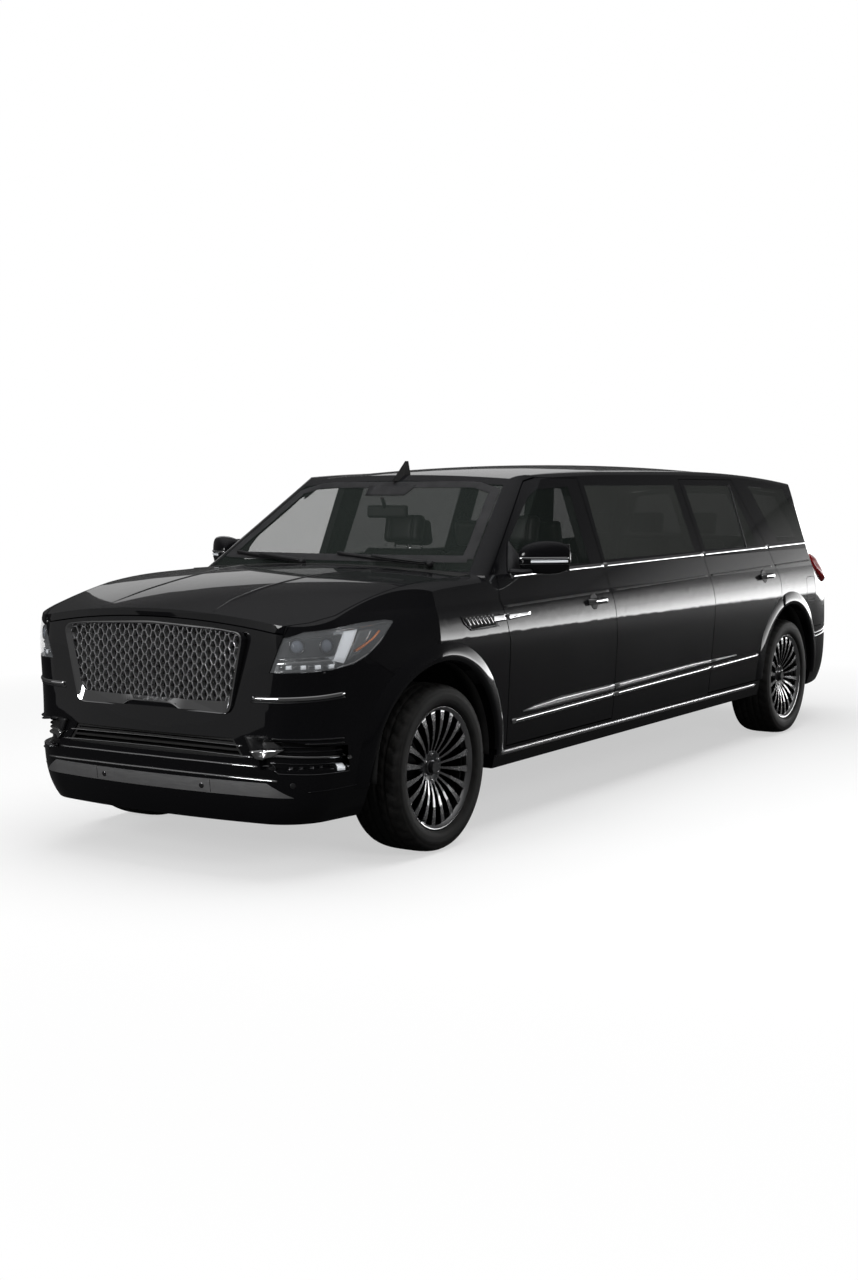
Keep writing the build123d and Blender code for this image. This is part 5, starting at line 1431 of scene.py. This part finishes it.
def piping(name, centre, along, size, lean):
    """The corded seam round a pad's edge."""
    along, across, up = pad_axes(along, lean)
    outline = rounded([(size[0] / 2, size[1] / 2), (-size[0] / 2, size[1] / 2),
                       (-size[0] / 2, -size[1] / 2), (size[0] / 2, -size[1] / 2)],
                      min(size) * 0.36, 8)
    spots = [Vector(centre) + along * a * 0.982 + across * b * 0.985 + up * size[2] * 0.12
             for a, b in outline]
    verts, faces = sweep(spots + spots[:1], [up] * (len(spots) + 1), circle(8, 0.003), False)
    make_object(name, verts, faces, "wheel_leather")


# Each seat row: name, CAD node, way it faces, seat places across, place width,
# cushion's front and back edge, its top in front and behind,
# back's foot and top on the face leant against, head rest's foot and top in the middle
SEAT_ROWS = (
    ("front", "seats_front", 1, (-0.400, 0.400), 0.522, (1.345, 0.905), (0.822, 0.800),
     (0.925, 0.812), (0.748, 1.405), (0.690, 1.408), (0.655, 1.590)),
    ("middle", "seat_middle", -1, (-0.455, 0.0, 0.455), 0.446, (-0.195, 0.255),
     (0.842, 0.822), (0.275, 0.842), (0.432, 1.385), (0.482, 1.388), (0.517, 1.555)),
    ("rear", "seat_rear", 1, (-0.410, 0.0, 0.410), 0.402, (-1.230, -1.670), (0.842, 0.822),
     (-1.690, 0.842), (-1.852, 1.405), (-1.905, 1.410), (-1.940, 1.575)),
)


# Thicknesses of a cushion and a back, a head rest's width and thickness, and the tops of
# the plinths under the front seats and the benches
CUSHION_THICK, BACK_THICK = 0.130, 0.115
REST_WIDE, REST_THICK = 0.262, 0.078
SEAT_BASE_TOP, BENCH_BASE_TOP = 0.690, 0.705


def seat_row(name, node, way, places, wide, edge, top, foot, head, rest_foot, rest_top):
    """Cushions, backs and head rests of one row on their plinth."""
    def run(low_end, high_end):
        return Vector((high_end[0] - low_end[0], 0, high_end[1] - low_end[1]))

    def half_way(low_end, high_end, y, lift=0.0):
        return Vector(((low_end[0] + high_end[0]) / 2, y,
                       (low_end[1] + high_end[1]) / 2 + lift))

    low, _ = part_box(node)
    length = abs(edge[0] - edge[1])
    slope = Vector((edge[0] - edge[1], 0, top[0] - top[1]))
    rise = run(foot, head)
    tall = rise.length
    rest_way = run(rest_foot, rest_top)
    face = Vector((way * abs(rise.z), 0, -way * rise.x)).normalized()
    if face.x * way < 0:
        face = -face
    facing = 1 if rise.normalized().cross(Vector((0, 1, 0))).dot(face) > 0 else -1
    seams = (-wide * 0.30, wide * 0.30)
    middle_x = (edge[0] + edge[1]) / 2
    for i, y in enumerate(places):
        centre = Vector((middle_x, y, (top[0] + top[1]) / 2 - 0.072))
        size = (length, wide, CUSHION_THICK)
        cushion = pad(f"cushion_{name}_{i}", centre, slope, size, 0.014, seams,
                      (length * 0.05, -length * 0.22), 0.010, -way)
        if i == 0:
            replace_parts(cushion, node)
        piping(f"cushion_piping_{name}_{i}", centre, slope, size, -way)
        centre = half_way(foot, head, y) - face * 0.066
        size = (tall, wide, BACK_THICK)
        pad(f"back_{name}_{i}", centre, rise, size, 0.012, seams,
            (tall * 0.28, tall * 0.06, -tall * 0.16), 0.014, facing)
        piping(f"back_piping_{name}_{i}", centre, rise, size, facing)
        pad(f"head_rest_{name}_{i}", half_way(rest_foot, rest_top, y, 0.008), rest_way,
            (rest_way.length * 0.92, REST_WIDE, REST_THICK), 0.010, (-0.080, 0.080),
            lean=facing)
        for j, shift in enumerate((-0.055, 0.055)):
            lathe(f"rest_post_{name}_{i}_{j}", [(-0.075, 0.006), (0.03, 0.006)],
                  (rest_foot[0], y + shift, rest_foot[1] + 0.01), rest_way, "chrome_trim",
                  count=14)
    if name == "front":
        high = SEAT_BASE_TOP
        for i, y in enumerate(places):
            box(f"seat_base_{name}_{i}", (middle_x + 0.005, y, (low[2] + high) / 2),
                (0.400, 0.440, high - low[2]), "black_plastic", soft=0.02)
    else:
        high = BENCH_BASE_TOP
        spread_y = max(places) - min(places) + wide - 0.03
        box(f"seat_base_{name}", (middle_x, 0, (low[2] + high) / 2),
            (length - 0.03, spread_y, high - low[2]), "seat_leather", soft=0.015)


# ---- cabin --------------------------------------------------------------------------
def turned(degrees, axis):
    """A rotation matrix."""
    return Matrix.Rotation(radians(degrees), 3, axis)


def cabin():
    """The dashboard's screen, vents and trim, and the inside mirror."""
    spot = trees_of("dashboard").ray_cast(Vector((0.9, 0, 1.12)), Vector((1, 0, 0)))[0]
    face = spot.x
    lean = turned(-14, "Y")
    aslant = turned(6, "Z")
    # Each box: name, place, size, slot, material if not the slot's, softness and turn
    boxes = [
        ("centre_screen", (face - 0.004, 0, 1.130), (0.016, 0.270, 0.160), "frame_black",
         MODULE_BLACK, 0.004, lean),
        ("screen_frame", (face + 0.004, 0, 1.130), (0.014, 0.286, 0.176), "satin_plate", None,
         0.004, lean),
        ("dash_inlay", (face + 0.006, 0, 1.020), (0.012, 1.300, 0.022), "satin_plate", None,
         0.003, None)]
    for i, y in enumerate((-0.660, -0.215, 0.215, 0.660)):
        boxes.append((f"vent_frame_{i}", (face + 0.002, y, 1.105), (0.014, 0.120, 0.070),
                      "frame_black", MODULE_BLACK, 0.004, None))
        boxes += [(f"vent_slat_{i}_{j}", (face - 0.006, y, 1.084 + 0.014 * j),
                   (0.010, 0.106, 0.003), "satin_plate", None, 0.0, None) for j in range(4)]
    boxes += [
        ("gauge_hood", (1.640, 0.390, 1.262), (0.150, 0.360, 0.040), "black_plastic", None,
         0.016, turned(8, "Y")),
        ("gauge_glass", (1.585, 0.390, 1.205), (0.012, 0.300, 0.080), "frame_black",
         MODULE_BLACK, 0.004, turned(-30, "Y")),
        ("glove_seam", (face + 0.007, -0.400, 0.985), (0.010, 0.440, 0.004), "frame_black",
         MODULE_BLACK, 0.0, None),
        ("inside_mirror", (1.462, 0.010, 1.622), (0.034, 0.250, 0.070), "black_plastic", None,
         0.015, aslant),
        ("inside_mirror_glass", (1.4435, 0.011, 1.622), (0.003, 0.232, 0.054), "chrome_trim",
         chrome("inside_silver", (0.7, 0.72, 0.73), 0.01, 0.03), 0.001, aslant)]
    for name, place, size, slot, look, soft, turn in boxes:
        box(name, place, size, slot, "body", soft, turn, look)
    stem = [Vector(p) for p in ((1.500, 0, 1.700), (1.485, 0, 1.665), (1.470, 0, 1.640))]
    verts, faces = sweep(stem, [Vector((1, 0, 0.2))] * 3, circle(12, 0.010))
    make_object("inside_mirror_stem", verts, faces, "black_plastic")


# ---- build --------------------------------------------------------------------------
for side_name, side in SIDES:
    side_trims(side_name, side)
    rear_side(side_name, side)
    mirror_unit(side_name, side)
    for arch_part in ARCH_PARTS:
        arch_lip(side_name, side, *arch_part)
    for label in AXLES:
        well_lining(side_name, side, label)
    for label, axle in AXLES.items():
        tag = f"{label}_{side_name}"
        hub = Vector((axle, side * WHEEL_Y, WHEEL_Z))
        tyre(tag, hub)
        rim(tag, side, hub)
        wheel_details(tag, side, hub)
grille()
lower_front()
headlamps()
wipers()
screen_border()
hood_creases()
rear_end()
for row in SEAT_ROWS:
    seat_row(*row)
cabin()

studio()
photo_camera()
bpy.context.scene.view_settings.view_transform = "Standard"
